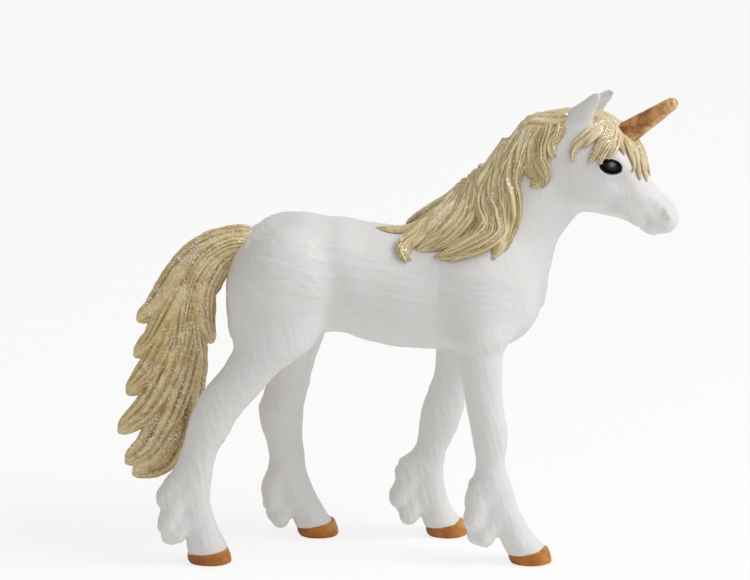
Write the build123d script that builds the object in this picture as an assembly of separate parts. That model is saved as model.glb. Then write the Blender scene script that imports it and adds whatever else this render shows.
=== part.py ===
from build123d import *

import math
import os

# A standing unicorn foal, moulded in painted PVC as separate pieces that plug together with glued pegs.
# Frame: millimetres, +Z up, +X towards the nose, -Y is the foal's right side.
# The origin is on the ground, at the middle of the figurine's length and width.

# Trunk
body_length = 50.2
barrel_depth = 20.4
barrel_width = 20.6
buttock_x = -27.2

# Neck
neck_length = 21.0
neck_depth = 22.0
neck_width = 16.4
neck_rise_angle = 48.3

# Head
head_length = 24.0
head_depth = 14.6
head_width = 10.8
head_droop_angle = 42.0
head_turn_angle = 9.0
nostril_length = 1.3
nostril_height = 1.0
nostril_depth = 0.7
mouth_gap = 0.35
mouth_depth = 0.6

# Legs, from the ground to the middle of the trunk
leg_length = 44.5
fore_leg_depth = 6.0
hind_leg_depth = 6.4
leg_width = 5.6
stance_width = 16.0
fetlock_tuft_drop = 11.0
fetlock_tuft_reach = 4.4
fetlock_tuft_width = 4.0

# Hooves
hoof_length = 7.0
hoof_width = 6.5
hoof_height = 2.5
hoof_heel_height = 1.3

# Horn
horn_length = 10.6
horn_base_diameter = 4.2
horn_tip_diameter = 2.1
horn_tilt_angle = 77.5
horn_ridge_height = 0.10
horn_ridge_count = 3
horn_twist_angle = 220.0

# Ears
ear_length = 7.6
ear_width = 4.0
ear_thickness = 2.4
ear_hollow_depth = 1.0
ear_lean_angle = 12.0
ear_splay_angle = 12.0
ear_facing_angle = 20.0

# Eyes
eye_length = 3.8
eye_height = 2.5
eye_bulge = 0.45
eye_seat_depth = 0.9
eye_tilt_angle = 30.0

# Tail
tail_length = 50.0
tail_width = 9.2
tail_thickness = 7.0
tail_lock_width = 4.6

# Mane and forelock
mane_lock_width = 5.4
mane_lock_thickness = 2.6
forelock_lock_width = 3.0
forelock_lock_thickness = 1.7

# Pegs and sockets
neck_peg_diameter = 7.0
neck_peg_length = 13.0
leg_peg_diameter = 3.6
leg_peg_length = 4.6
tail_peg_diameter = 3.0
tail_peg_length = 9.0
tail_peg_angle = 22.0
horn_peg_diameter = 2.2
horn_peg_length = 3.0
ear_peg_diameter = 1.5
ear_peg_length = 2.0
hoof_peg_diameter = 2.4
hoof_peg_length = 1.8
mane_peg_diameter = 2.0
mane_peg_length = 2.0
peg_clearance = 0.06

# Rows of each form: share of its length, share of its depth for the centre line's rise,
# then shares of its depth above and below the centre line, and the share of its half width.
trunk_shares = (
    (0.000, -0.12, 0.10, 0.12, 0.20),
    (0.010, -0.12, 0.27, 0.27, 0.48),
    (0.032, -0.09, 0.38, 0.38, 0.74),
    (0.078, -0.05, 0.46, 0.46, 0.90),
    (0.157, 0.005, 0.50, 0.50, 1.00),
    (0.252, 0.05, 0.49, 0.49, 0.98),
    (0.348, 0.055, 0.455, 0.45, 0.88),
    (0.460, -0.01, 0.465, 0.465, 0.88),
    (0.572, -0.045, 0.48, 0.48, 0.91),
    (0.684, -0.035, 0.50, 0.50, 0.90),
    (0.796, -0.045, 0.49, 0.50, 0.87),
    (0.890, -0.08, 0.43, 0.43, 0.76),
    (0.956, -0.105, 0.31, 0.31, 0.59),
    (0.990, -0.115, 0.16, 0.16, 0.32),
    (1.000, -0.12, 0.06, 0.06, 0.14),
)
neck_shares = (
    (-0.43, 0.00, 0.43, 0.43, 0.88),
    (-0.14, 0.00, 0.50, 0.50, 1.00),
    (0.14, 0.02, 0.445, 0.445, 0.88),
    (0.48, 0.07, 0.352, 0.352, 0.68),
    (0.76, 0.077, 0.336, 0.336, 0.61),
    (1.00, 0.055, 0.318, 0.318, 0.57),
    (1.19, 0.02, 0.23, 0.23, 0.44),
)
head_shares = (
    (-0.385, 0.04, 0.12, 0.14, 0.28),
    (-0.335, 0.00, 0.27, 0.27, 0.58),
    (-0.210, 0.00, 0.385, 0.49, 0.86),
    (-0.045, 0.00, 0.42, 0.58, 1.00),
    (0.085, 0.00, 0.385, 0.555, 0.98),
    (0.210, 0.00, 0.275, 0.445, 0.80),
    (0.315, 0.00, 0.203, 0.35, 0.65),
    (0.400, 0.00, 0.195, 0.28, 0.58),
    (0.490, 0.00, 0.190, 0.28, 0.60),
    (0.560, 0.00, 0.145, 0.235, 0.52),
    (0.608, 0.00, 0.062, 0.11, 0.30),
)

# Rows of each leg: share of the leg's length above the ground, share of the leg's length forward of its hoof,
# share of half the stance width sideways, then shares of the leg's half depth and half width.
right_hind_shares = (
    (1.130, 0.218, 0.40, 1.20, 0.90),
    (1.010, 0.218, 0.64, 1.95, 1.55),
    (0.899, 0.238, 0.80, 2.25, 1.55),
    (0.798, 0.225, 0.95, 1.90, 1.46),
    (0.697, 0.133, 1.00, 1.45, 1.22),
    (0.562, 0.031, 1.00, 1.24, 1.06),
    (0.472, -0.009, 1.00, 1.05, 1.00),
    (0.414, -0.034, 1.00, 0.92, 0.93),
    (0.301, -0.052, 1.00, 0.79, 0.88),
    (0.210, -0.049, 1.00, 0.74, 0.88),
    (0.135, -0.029, 1.00, 0.79, 0.94),
    (0.079, -0.016, 1.00, 0.93, 1.02),
    (0.030, 0.000, 1.00, 1.06, 1.12),
)
left_hind_shares = (
    (1.130, -0.121, 0.40, 1.20, 0.90),
    (1.010, -0.121, 0.64, 1.90, 1.55),
    (0.899, -0.094, 0.80, 2.00, 1.55),
    (0.798, -0.083, 0.95, 1.68, 1.46),
    (0.697, -0.096, 1.00, 1.42, 1.22),
    (0.562, -0.112, 1.00, 1.14, 1.06),
    (0.472, -0.134, 1.00, 1.12, 1.00),
    (0.414, -0.133, 1.00, 1.05, 0.93),
    (0.301, -0.115, 1.00, 0.88, 0.88),
    (0.210, -0.090, 1.00, 0.84, 0.88),
    (0.135, -0.061, 1.00, 0.84, 0.94),
    (0.079, -0.034, 1.00, 0.91, 1.02),
    (0.030, -0.008, 1.00, 1.00, 1.12),
)
right_fore_shares = (
    (1.080, -0.182, 0.40, 1.30, 0.90),
    (0.975, -0.182, 0.60, 1.85, 1.36),
    (0.863, -0.182, 0.80, 1.65, 1.34),
    (0.789, -0.184, 0.94, 1.32, 1.20),
    (0.715, -0.180, 1.00, 1.13, 1.07),
    (0.566, -0.164, 1.00, 0.98, 0.98),
    (0.492, -0.151, 1.00, 0.98, 1.00),
    (0.436, -0.146, 1.00, 0.90, 0.96),
    (0.380, -0.146, 1.00, 0.78, 0.86),
    (0.267, -0.124, 1.00, 0.84, 0.86),
    (0.157, -0.083, 1.00, 0.88, 0.92),
    (0.101, -0.054, 1.00, 0.95, 1.00),
    (0.042, -0.016, 1.00, 1.12, 1.12),
)
left_fore_shares = (
    (1.080, 0.070, 0.40, 1.30, 0.90),
    (0.975, 0.070, 0.60, 1.80, 1.36),
    (0.863, 0.066, 0.80, 1.60, 1.34),
    (0.789, 0.062, 0.94, 1.34, 1.20),
    (0.692, 0.045, 1.00, 1.25, 1.07),
    (0.544, 0.002, 1.00, 1.06, 0.98),
    (0.470, -0.018, 1.00, 1.12, 1.00),
    (0.413, -0.029, 1.00, 1.02, 0.96),
    (0.301, -0.061, 1.00, 0.82, 0.86),
    (0.222, -0.066, 1.00, 0.80, 0.86),
    (0.135, -0.052, 1.00, 0.82, 0.92),
    (0.090, -0.036, 1.00, 0.90, 1.00),
    (0.036, -0.012, 1.00, 1.06, 1.12),
)

# Places of the hooves, as shares of the body's length from the buttock.
right_hind_hoof_share = -0.054
left_hind_hoof_share = 0.291
right_fore_hoof_share = 0.970
left_fore_hoof_share = 0.705
leg_peg_height_share = 0.845
hoof_peg_aim_share = 0.115

# A hoof from its sole up: shares of its height and of its length and width.
hoof_shares = (
    (0.00, 0.90),
    (0.10, 0.97),
    (0.35, 1.00),
    (1.25, 0.97),
)

# The horn from its seat to its tip: share of its length, of its taper and of the rounding at the tip.
horn_shares = (
    (0.00, 0.00, 1.00),
    (0.20, 0.20, 1.00),
    (0.40, 0.40, 1.00),
    (0.60, 0.60, 1.00),
    (0.80, 0.82, 1.00),
    (0.92, 0.96, 0.95),
    (0.98, 1.00, 0.70),
    (1.00, 1.00, 0.34),
)

# An ear from its foot to its tip: shares of its length, thickness and width, then the same for its hollow.
ear_shares = (
    (0.00, 0.72, 0.66),
    (0.22, 0.95, 0.92),
    (0.45, 1.00, 1.00),
    (0.70, 0.84, 0.76),
    (0.90, 0.48, 0.36),
    (1.00, 0.20, 0.14),
)
ear_hollow_shares = (
    (0.24, 0.30, 0.50),
    (0.42, 0.62, 1.00),
    (0.62, 0.60, 1.00),
    (0.84, 0.30, 0.60),
)

# A tuft of hair behind each fetlock: lobes given as shares of its drop and reach, and of its half width.
tuft_height_share = 0.315
tuft_lobe_shares = (
    ((-0.05, -0.32), (0.14, 0.18), (0.40, 0.74), 0.88),
    ((0.12, -0.32), (0.44, 0.27), (0.78, 0.80), 0.98),
    ((0.34, -0.40), (0.63, 0.18), (0.97, 0.66), 1.00),
)
full_tuft_share = 1.00
left_hind_tuft_share = 0.60

# The tail's middle line: shares of its length behind its root and below it,
# then of its half width and thickness.
tail_core_shares = (
    (-0.030, 0.014, 0.56, 0.56),
    (0.064, 0.018, 0.62, 0.66),
    (0.134, 0.058, 0.66, 0.70),
    (0.176, 0.148, 0.70, 0.72),
    (0.196, 0.280, 0.72, 0.72),
    (0.208, 0.362, 0.72, 0.72),
    (0.240, 0.528, 0.66, 0.66),
    (0.266, 0.662, 0.52, 0.52),
    (0.288, 0.734, 0.30, 0.32),
)
# Locks down the tail's right face, each of which breaks out at an edge: shares of the tail's length behind
# its root and below it, then the shares of the lock's half width, and of the tail's half thickness
# for the way that it lies off the middle.
tail_lock_shares = (
    (((0.00, -0.03), (0.11, 0.00), (0.19, 0.07), (0.245, 0.15), (0.29, 0.21), (0.334, 0.26)), 0.98, 0.38),
    (((0.07, 0.02), (0.17, 0.085), (0.21, 0.155), (0.25, 0.24), (0.30, 0.325), (0.35, 0.378)), 1.00, 0.42),
    (((0.05, 0.03), (0.165, 0.125), (0.215, 0.235), (0.25, 0.345), (0.305, 0.44), (0.37, 0.508)), 1.02, 0.46),
    (((0.075, 0.05), (0.17, 0.195), (0.20, 0.315), (0.23, 0.43), (0.295, 0.53), (0.392, 0.62)), 1.02, 0.48),
    (((0.14, 0.225), (0.175, 0.39), (0.215, 0.51), (0.27, 0.60), (0.325, 0.667), (0.38, 0.724)), 0.98, 0.46),
    (((0.135, 0.36), (0.16, 0.485), (0.19, 0.59), (0.23, 0.675), (0.28, 0.743), (0.336, 0.772)), 0.92, 0.34),
    (((0.105, 0.055), (0.175, 0.145), (0.192, 0.255), (0.206, 0.375), (0.238, 0.475)), 0.66, 0.72),
    (((0.035, 0.025), (0.10, 0.075), (0.132, 0.15), (0.12, 0.237), (0.094, 0.32)), 0.74, 0.66),
    (((0.08, 0.07), (0.144, 0.16), (0.15, 0.257), (0.138, 0.35), (0.124, 0.418)), 0.68, 0.40),
)
# How a tail lock draws in to the middle at its ends: share of its length and of its way off the middle.
tail_spread_shares = (
    (0.00, 0.70),
    (0.40, 1.00),
    (0.70, 1.00),
    (1.00, 0.50),
)
tail_root_along_share = 0.050
tail_root_rise_share = 0.325

# Mane locks, alike on both sides: places on the neck as shares of its length and of its depth from the
# middle (0) to the crest (1), then places on the back in the same way, and the shares of the lock's
# half width and thickness.
mane_shares = (
    (((1.14, 1.00), (1.08, 0.86), (1.00, 0.66), (0.95, 0.42)), (), 0.46, 0.80),
    (((1.08, 1.00), (0.98, 0.92), (0.86, 0.70), (0.80, 0.42), (0.76, 0.20), (0.67, 0.15)), (), 0.80, 1.00),
    (((0.96, 1.00), (0.82, 0.97), (0.66, 0.85), (0.54, 0.62), (0.46, 0.27), (0.36, 0.12), (0.09, 0.03)),
     (), 0.84, 1.05),
    (((0.84, 1.00), (0.68, 0.98), (0.52, 0.88), (0.40, 0.67), (0.33, 0.38), (0.24, 0.24), (0.13, 0.22)),
     (), 0.70, 1.15),
    (((0.70, 1.00), (0.57, 0.98), (0.44, 0.90), (0.33, 0.70), (0.22, 0.46)),
     ((0.78, 0.78), (0.67, 0.70)), 0.88, 1.15),
    (((0.46, 1.00), (0.32, 0.95), (0.18, 0.82)),
     ((0.70, 0.86), (0.64, 0.86), (0.60, 0.83)), 1.00, 1.20),
    (((0.30, 1.00), (0.14, 0.97)),
     ((0.66, 0.97), (0.62, 0.93)), 0.80, 1.25),
    (((0.22, 1.00), (0.08, 1.00)),
     ((0.63, 0.99), (0.58, 0.92), (0.555, 0.78), (0.556, 0.64), (0.59, 0.54)), 0.62, 1.10),
)
# The crest's roll of hair along the top of the neck: shares of the neck's length, half width and thickness.
mane_crest_shares = (
    (1.22, 0.50, 0.42),
    (1.08, 0.72, 0.56),
    (0.80, 0.80, 0.62),
    (0.50, 0.84, 0.65),
    (0.20, 0.90, 0.65),
    (-0.06, 0.80, 0.55),
)
# One thin lock runs back from the mane along the top of the back: shares of the trunk's length and depth.
back_mane_shares = (
    (((0.66, 1.00), (0.58, 0.99), (0.53, 0.985), (0.478, 0.975)), 0.42, 0.70),
)
mane_peg_shares = ((0.54, 0.62), (0.18, 0.82))

# Forelock locks on the head: shares of the head's length and of its depth above the middle.
side_forelock_shares = (
    (((-0.27, 0.96), (-0.25, 0.45), (-0.24, 0.02), (-0.205, -0.30)), 0.75, 1.00),
    (((-0.23, 1.00), (-0.16, 0.78), (-0.12, 0.42), (-0.10, 0.05)), 1.10, 1.10),
    (((-0.12, 1.00), (-0.05, 0.86), (0.01, 0.68), (0.02, 0.45)), 1.00, 1.00),
    (((0.01, 0.98), (0.09, 0.90), (0.17, 0.78), (0.25, 0.66)), 0.85, 0.90),
)
middle_forelock_shares = (
    (((-0.30, 0.98), (-0.20, 1.00), (-0.10, 1.00), (-0.03, 1.00)), 1.35, 1.20),
    (((0.00, 1.00), (0.10, 1.00), (0.20, 1.00), (0.30, 0.98)), 1.05, 0.95),
)

# Where the neck leaves the trunk, how its peg starts, and where the head sits on the neck's end.
neck_base_along_share = 0.840
neck_base_rise_share = 0.205
neck_peg_start_share = 0.40
head_forward_share = 0.156
head_up_share = 0.175

# How a lock swells and thins from its root to its tip: share of its length, of its half width and thickness.
lock_swell_shares = (
    (0.00, 0.55, 0.60),
    (0.25, 1.00, 1.00),
    (0.50, 1.00, 0.95),
    (0.75, 0.78, 0.75),
    (0.90, 0.48, 0.50),
    (1.00, 0.20, 0.28),
)
lock_lift_share = 0.30
tail_lock_flat_share = 0.85

# Places on the head, as shares of its length and of its depth above and below the middle.
horn_along_share = -0.055
horn_seat_share = 0.86
ear_along_share = -0.325
ear_rise_share = 0.10
ear_side_share = 0.50
eye_along_share = 0.006
eye_rise_share = 0.20
nostril_along_share = 0.530
nostril_rise_share = 0.20
mouth_along_share = 0.415
mouth_rise_share = -0.46

oval_steps = 8
lock_steps = 5


def between(rows, place, column):
    """The value of one column of a table at a place given by its first column."""
    ordered = sorted(rows, key=lambda row: row[0])
    place = min(max(place, ordered[0][0]), ordered[-1][0])
    for low, high in zip(ordered, ordered[1:]):
        if place <= high[0]:
            part = (place - low[0]) / (high[0] - low[0])
            return low[column] + part * (high[column] - low[column])
    return ordered[-1][column]


def oval(centre, across, along, half_across, half_up, half_down=None):
    """A closed smooth outline, as an egg with its own radius above and below."""
    half_down = half_up if half_down is None else half_down
    plane = Plane(origin=centre, x_dir=across, z_dir=along)
    points = []
    for step in range(oval_steps):
        turn = 2 * math.pi * step / oval_steps
        rise = math.cos(turn)
        reach = half_up if rise > 0 else half_down
        points.append(plane.from_local_coords(Vector(half_across * math.sin(turn), reach * rise)))
    return Wire([Edge.make_spline(points, periodic=True)])


class Form:
    """A limb or trunk: ovals stacked along a straight axis, with a way to find places on its skin."""

    def __init__(self, rows, origin, axis, up, length, depth, width):
        self.rows = rows
        self.origin = Vector(origin)
        self.axis = Vector(axis).normalized()
        self.up = Vector(up).normalized()
        self.side = self.up.cross(self.axis).normalized()
        self.length = length
        self.depth = depth
        self.width = width

    def centre(self, along):
        rise = between(self.rows, along, 1) * self.depth
        return self.origin + self.axis * (along * self.length) + self.up * rise

    def radii(self, along):
        half_up = between(self.rows, along, 2) * self.depth
        half_down = between(self.rows, along, 3) * self.depth
        half_width = between(self.rows, along, 4) * self.width / 2
        return half_up, half_down, half_width

    def skin_place(self, along, rise, side):
        """A place on the skin and the direction out of it. side is 1, -1, or 0 for the ridge itself."""
        half_up, half_down, half_width = self.radii(along)
        half_rise = half_up if rise > 0 else half_down
        spread = side * math.sqrt(max(0, 1 - rise * rise))
        place = self.centre(along) + self.up * (rise * half_rise) + self.side * (spread * half_width)
        out = self.up * (rise / half_rise) + self.side * (spread / half_width)
        return place, out.normalized()

    def solid(self):
        ovals = []
        for row in self.rows:
            half_up, half_down, half_width = self.radii(row[0])
            ovals.append(oval(self.centre(row[0]), self.side, self.axis, half_width, half_up, half_down))
        return Solid.make_loft(ovals)


def lock(places, half_width, half_thickness):
    """A lock of hair along a smooth path over a skin, swelling in the middle and thin at its tip."""
    path = Edge.make_spline([place for place, out in places])
    stations = [(path.param_at_point(place), *out) for place, out in places]
    steps = max(lock_steps, len(places))
    ovals = []
    for step in range(steps + 1):
        part = step / steps
        out = Vector(*(between(stations, part, column) for column in (1, 2, 3)))
        along = path % part
        across = out.cross(along).normalized()
        wide = half_width * between(lock_swell_shares, part, 1)
        thick = half_thickness * between(lock_swell_shares, part, 2)
        ovals.append(oval(path @ part, across, along, wide, thick))
    return Solid.make_loft(ovals)


def peg(start, direction, diameter, length):
    """A round peg from a start point along a direction."""
    plane = Plane(origin=start, z_dir=direction)
    return extrude(plane * Circle(diameter / 2), length)


def socket(start, direction, diameter, length):
    """The hole for a peg, wider and deeper than it by the clearance."""
    return peg(start, direction, diameter + 2 * peg_clearance, length + peg_clearance)


def largest(shape):
    """The main solid of a cut, without the crumbs that a cut can leave."""
    return max(shape.solids(), key=lambda solid: solid.volume)


up = Vector(0, 0, 1)
forward = Vector(1, 0, 0)
left = Vector(0, 1, 0)


def trunk_form():
    base = (buttock_x, 0, leg_length)
    return Form(trunk_shares, base, forward, up, body_length, barrel_depth, barrel_width)


def neck_form():
    rise = math.radians(neck_rise_angle)
    axis = forward * math.cos(rise) + up * math.sin(rise)
    crest = up * math.cos(rise) - forward * math.sin(rise)
    base_x = buttock_x + neck_base_along_share * body_length
    base_z = leg_length + neck_base_rise_share * barrel_depth
    return Form(neck_shares, (base_x, 0, base_z), axis, crest, neck_length, neck_depth, neck_width)


def head_form(neck):
    turn = math.radians(head_turn_angle)
    droop = math.radians(head_droop_angle)
    facing = forward * math.cos(turn) - left * math.sin(turn)
    axis = facing * math.cos(droop) - up * math.sin(droop)
    brow = facing * math.sin(droop) + up * math.cos(droop)
    neck_end = neck.origin + neck.axis * neck.length
    origin = neck_end + axis * (head_forward_share * head_length) + brow * (head_up_share * head_depth)
    return Form(head_shares, origin, axis, brow, head_length, head_depth, head_width)


class Leg:
    """One leg: ovals stacked up from the ground, its hoof, its tuft and its peg into the trunk."""

    def __init__(self, rows, hoof_share, depth, side, tuft_share):
        self.rows = rows
        self.tuft_reach = tuft_share * fetlock_tuft_reach
        self.depth = depth
        self.side = side
        self.hoof_x = buttock_x + hoof_share * body_length

    def centre(self, height):
        x = self.hoof_x + between(self.rows, height, 1) * leg_length
        y = self.side * between(self.rows, height, 2) * stance_width / 2
        return Vector(x, y, height * leg_length)

    def half_depth(self, height):
        return between(self.rows, height, 3) * self.depth / 2

    def half_width(self, height):
        return between(self.rows, height, 4) * leg_width / 2

    def shaft(self):
        ovals = []
        for row in self.rows:
            place = self.centre(row[0])
            ovals.append(oval(place, forward, up, self.half_depth(row[0]), self.half_width(row[0])))
        return Solid.make_loft(ovals)

    def tuft(self):
        """Lobes of hair that hang behind the fetlock."""
        lobes = []
        top = tuft_height_share * leg_length
        for *places, wide in tuft_lobe_shares:
            spine = []
            for drop, back in places:
                height = top - drop * fetlock_tuft_drop
                share = height / leg_length
                rear = self.centre(share) - forward * (self.half_depth(share) + back * self.tuft_reach)
                spine.append((Vector(rear.X, rear.Y, height), left))
            lobes.append(lock(spine, wide * fetlock_tuft_reach / 2, wide * fetlock_tuft_width / 2))
        return lobes

    def coronet(self):
        """The slanted plane where the leg meets its hoof: high at the toe, low at the heel."""
        middle = (hoof_height + hoof_heel_height) / 2
        slant = math.atan2(hoof_height - hoof_heel_height, hoof_length)
        normal = up * math.cos(slant) - forward * math.sin(slant)
        return Plane(origin=(self.hoof_x, self.side * stance_width / 2, middle), z_dir=normal)

    def hoof_peg_axis(self):
        middle = Vector(self.coronet().origin)
        direction = (self.centre(hoof_peg_aim_share) - middle).normalized()
        return middle - direction * hoof_heel_height / 2, direction

    def hoof_peg_span(self):
        return hoof_peg_length + hoof_heel_height / 2

    def hoof(self):
        """A hoof with a slightly rounded sole and a slanted top, and a peg up into the leg."""
        ovals = []
        for rise, size in hoof_shares:
            place = Vector(self.hoof_x, self.side * stance_width / 2, rise * hoof_height)
            ovals.append(oval(place, forward, up, size * hoof_length / 2, size * hoof_width / 2))
        wall = split(Solid.make_loft(ovals), bisect_by=self.coronet(), keep=Keep.BOTTOM)
        return wall + peg(*self.hoof_peg_axis(), hoof_peg_diameter, self.hoof_peg_span())

    def hip_peg_axis(self):
        outer = left * (self.side * self.half_width(leg_peg_height_share) / 2)
        return self.centre(leg_peg_height_share) + outer, left * -self.side

    def hip_peg_span(self):
        return leg_peg_length + self.half_width(leg_peg_height_share) / 2

    def solid(self, trunk):
        """The whole leg, seated on the trunk and on its hoof."""
        limb = self.shaft() - trunk + self.tuft()
        limb = split(limb, bisect_by=self.coronet(), keep=Keep.TOP)
        limb = largest(limb) + peg(*self.hip_peg_axis(), leg_peg_diameter, self.hip_peg_span())
        return limb - socket(*self.hoof_peg_axis(), hoof_peg_diameter, self.hoof_peg_span())


def stations_on(form, places, half_thickness):
    """Places on the right side of a form's skin, lifted by a share of a lock's thickness."""
    stations = []
    for along, rise in places:
        place, out = form.skin_place(along, rise, -1)
        stations.append((place + out * (lock_lift_share * half_thickness), out))
    return stations


def lock_on(form, places, half_width, half_thickness):
    """A lock that lies on the right side of a form's skin."""
    return lock(stations_on(form, places, half_thickness), half_width, half_thickness)


def locks_on(form, table, width, thickness):
    """One lock for each row of a table of places, width share and thickness share."""
    return [lock_on(form, places, wide * width / 2, thick * thickness / 2) for places, wide, thick in table]


def on_left(form, pieces):
    """The same pieces on the left side of a form."""
    middle = Plane(origin=form.origin, z_dir=form.side)
    return [mirror(piece, about=middle) for piece in pieces]


def tail_path_place(behind, below):
    x = buttock_x + tail_root_along_share * body_length - behind * tail_length
    z = leg_length + tail_root_rise_share * barrel_depth - below * tail_length
    return Vector(x, 0, z)


def tail_peg_axis():
    drop = math.radians(tail_peg_angle)
    behind, below, *_ = tail_core_shares[1]
    return tail_path_place(behind, below), forward * math.cos(drop) - up * math.sin(drop)


def tail_lock(places, wide, aside):
    """One lock on the right face of the tail."""
    stations = []
    for index, (behind, below) in enumerate(places):
        spread = between(tail_spread_shares, index / (len(places) - 1), 1)
        off = left * (aside * spread * tail_thickness / 2)
        stations.append((tail_path_place(behind, below) - off, left))
    half_width = wide * tail_lock_width / 2
    return lock(stations, half_width, half_width * tail_lock_flat_share)


def tail_solid(trunk):
    """The tail's core, locks down both faces that break out along the edges, and the peg into the rump."""
    points = [tail_path_place(behind, below) for behind, below, *_ in tail_core_shares]
    ovals = []
    for index, (behind, below, wide, thick) in enumerate(tail_core_shares):
        ahead = points[min(index + 1, len(points) - 1)]
        before = points[max(index - 1, 0)]
        along = (ahead - before).normalized()
        across = left.cross(along).normalized()
        ovals.append(oval(points[index], across, along, wide * tail_width / 2, thick * tail_thickness / 2))
    core = Solid.make_loft(ovals)
    locks = [tail_lock(*row) for row in tail_lock_shares]
    hair = core + locks + on_left(trunk_form(), locks)
    return largest(hair - trunk) + peg(*tail_peg_axis(), tail_peg_diameter, tail_peg_length)


def mane_peg_axes(neck):
    axes = []
    for along, rise in mane_peg_shares:
        place, out = neck.skin_place(along, rise, -1)
        axes.append((place + out * (mane_lock_thickness / 4), out * -1))
    return axes


def mane_crest(neck):
    """The roll of hair along the top of the neck."""
    ovals = []
    for along, wide, thick in mane_crest_shares:
        place, out = neck.skin_place(along, 1, 0)
        half_width = wide * mane_lock_width / 2
        ovals.append(oval(place, neck.side, neck.axis, half_width, thick * mane_lock_thickness))
    return Solid.make_loft(ovals)


def mane_lock(neck, trunk, row, dropped):
    """One lock of the mane down the neck and over the back, without the places dropped from its end."""
    neck_places, trunk_places, wide, thick = row
    half_thickness = thick * mane_lock_thickness / 2
    stations = stations_on(neck, neck_places, half_thickness)
    stations += stations_on(trunk, trunk_places, half_thickness)
    return lock(stations[:len(stations) - dropped], wide * mane_lock_width / 2, half_thickness)


def mane_locks(neck, trunk):
    """Locks down the right and, a place shorter, down the left side of the neck, and on the back."""
    right = [mane_lock(neck, trunk, row, 0) for row in mane_shares]
    left_side = on_left(neck, [mane_lock(neck, trunk, row, 1) for row in mane_shares])
    back = locks_on(trunk, back_mane_shares, mane_lock_width, mane_lock_thickness)
    return right, left_side, back


def mane_solid(neck, crest, locks, others):
    """The crest and all its locks as one piece, seated on what it covers, with its pegs."""
    right, left_side, back = locks
    hair = largest(crest + right + left_side + back - others)
    span = mane_peg_length + mane_lock_thickness / 4
    return hair + [peg(*axis, mane_peg_diameter, span) for axis in mane_peg_axes(neck)]


def forelock_solid(head, others):
    """Locks that fall from the poll to both sides of the horn and down the nose."""
    side_locks = locks_on(head, side_forelock_shares, forelock_lock_width, forelock_lock_thickness)
    pieces = locks_on(head, middle_forelock_shares, forelock_lock_width, forelock_lock_thickness)
    hair = pieces[0] + pieces[1:] + side_locks + on_left(head, side_locks)
    return largest(hair - others)


def horn_axis(head):
    tilt = math.radians(horn_tilt_angle)
    base = head.centre(horn_along_share) + head.up * (horn_seat_share * head.radii(horn_along_share)[0])
    return base, head.axis * math.cos(tilt) + head.up * math.sin(tilt)


def horn_solid(head, seat):
    """A tapered horn with a low three-start ridge that twists up to a rounded tip."""
    base, direction = horn_axis(head)
    rings = []
    for along, taper, rounding in horn_shares:
        radius = rounding * (horn_base_diameter + taper * (horn_tip_diameter - horn_base_diameter)) / 2
        plane = Plane(origin=base + direction * (along * horn_length), x_dir=head.side, z_dir=direction)
        points = []
        for step in range(horn_ridge_count * 4):
            turn = 2 * math.pi * step / (horn_ridge_count * 4)
            reach = radius + rounding * horn_ridge_height * math.cos(horn_ridge_count * turn)
            twisted = turn + math.radians(horn_twist_angle) * along
            corner = Vector(reach * math.cos(twisted), reach * math.sin(twisted))
            points.append(plane.from_local_coords(corner))
        rings.append(Wire([Edge.make_spline(points, periodic=True)]))
    shell = largest(Solid.make_loft(rings) - seat)
    root = base + direction * horn_base_diameter / 2
    return shell + peg(root, direction * -1, horn_peg_diameter, horn_peg_length + horn_base_diameter / 2)


def horn_socket(head):
    base, direction = horn_axis(head)
    root = base + direction * horn_base_diameter / 2
    return socket(root, direction * -1, horn_peg_diameter, horn_peg_length + horn_base_diameter / 2)


def ear_axes(head, side):
    """Where an ear stands, the way it points, the way it faces and its broad direction."""
    lean = math.radians(ear_lean_angle)
    splay = math.radians(ear_splay_angle)
    facing = math.radians(ear_facing_angle)
    half_width = head.radii(ear_along_share)[2]
    foot = head.centre(ear_along_share) + head.up * (ear_rise_share * head.depth)
    foot = foot + head.side * (side * ear_side_share * half_width)
    outward = head.side * side
    upright = head.up * math.cos(lean) - head.axis * math.sin(lean)
    tall = upright * math.cos(splay) + outward * math.sin(splay)
    ahead = head.axis * math.cos(facing) + outward * math.sin(facing)
    front = (ahead - tall * ahead.dot(tall)).normalized()
    return foot, tall, front, tall.cross(front)


def ear_solid(head, side, seat):
    """A leaf that comes to a point, hollowed on its front, with a small peg."""
    foot, tall, front, broad = ear_axes(head, side)
    leaf = []
    bowl = []
    for along, wide, thick in ear_shares:
        place = foot + tall * (along * ear_length)
        leaf.append(oval(place, broad, tall, wide * ear_thickness / 2, thick * ear_width / 2))
    for along, wide, thick in ear_hollow_shares:
        place = foot + tall * (along * ear_length) + front * (ear_width / 2)
        bowl.append(oval(place, broad, tall, wide * ear_thickness / 2, thick * ear_hollow_depth))
    shell = largest(Solid.make_loft(leaf) - Solid.make_loft(bowl) - seat)
    return shell + peg(*ear_peg_axis(head, side), ear_peg_diameter, ear_peg_length + ear_length / 4)


def ear_peg_axis(head, side):
    foot, tall, front, broad = ear_axes(head, side)
    return foot + tall * (ear_length / 4), tall * -1


def eye_plane(head, side):
    """The plane of an eye on the skin, with its long way tilted up from the line of the nose."""
    place, out = head.skin_place(eye_along_share, eye_rise_share, side)
    tilt = math.radians(eye_tilt_angle)
    long_way = head.axis * math.cos(tilt) + head.up * math.sin(tilt)
    long_way = long_way - out * long_way.dot(out)
    return Plane(origin=place, x_dir=long_way, z_dir=out)


def almond(plane, room):
    """The eye's outline: two arcs that meet in corners, wider by the given room."""
    half_long = eye_length / 2 + room
    half_tall = eye_height / 2 + room
    upper = ThreePointArc((-half_long, 0), (0, half_tall), (half_long, 0))
    lower = ThreePointArc((half_long, 0), (0, -half_tall), (-half_long, 0))
    return plane * make_face([upper, lower])


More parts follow.
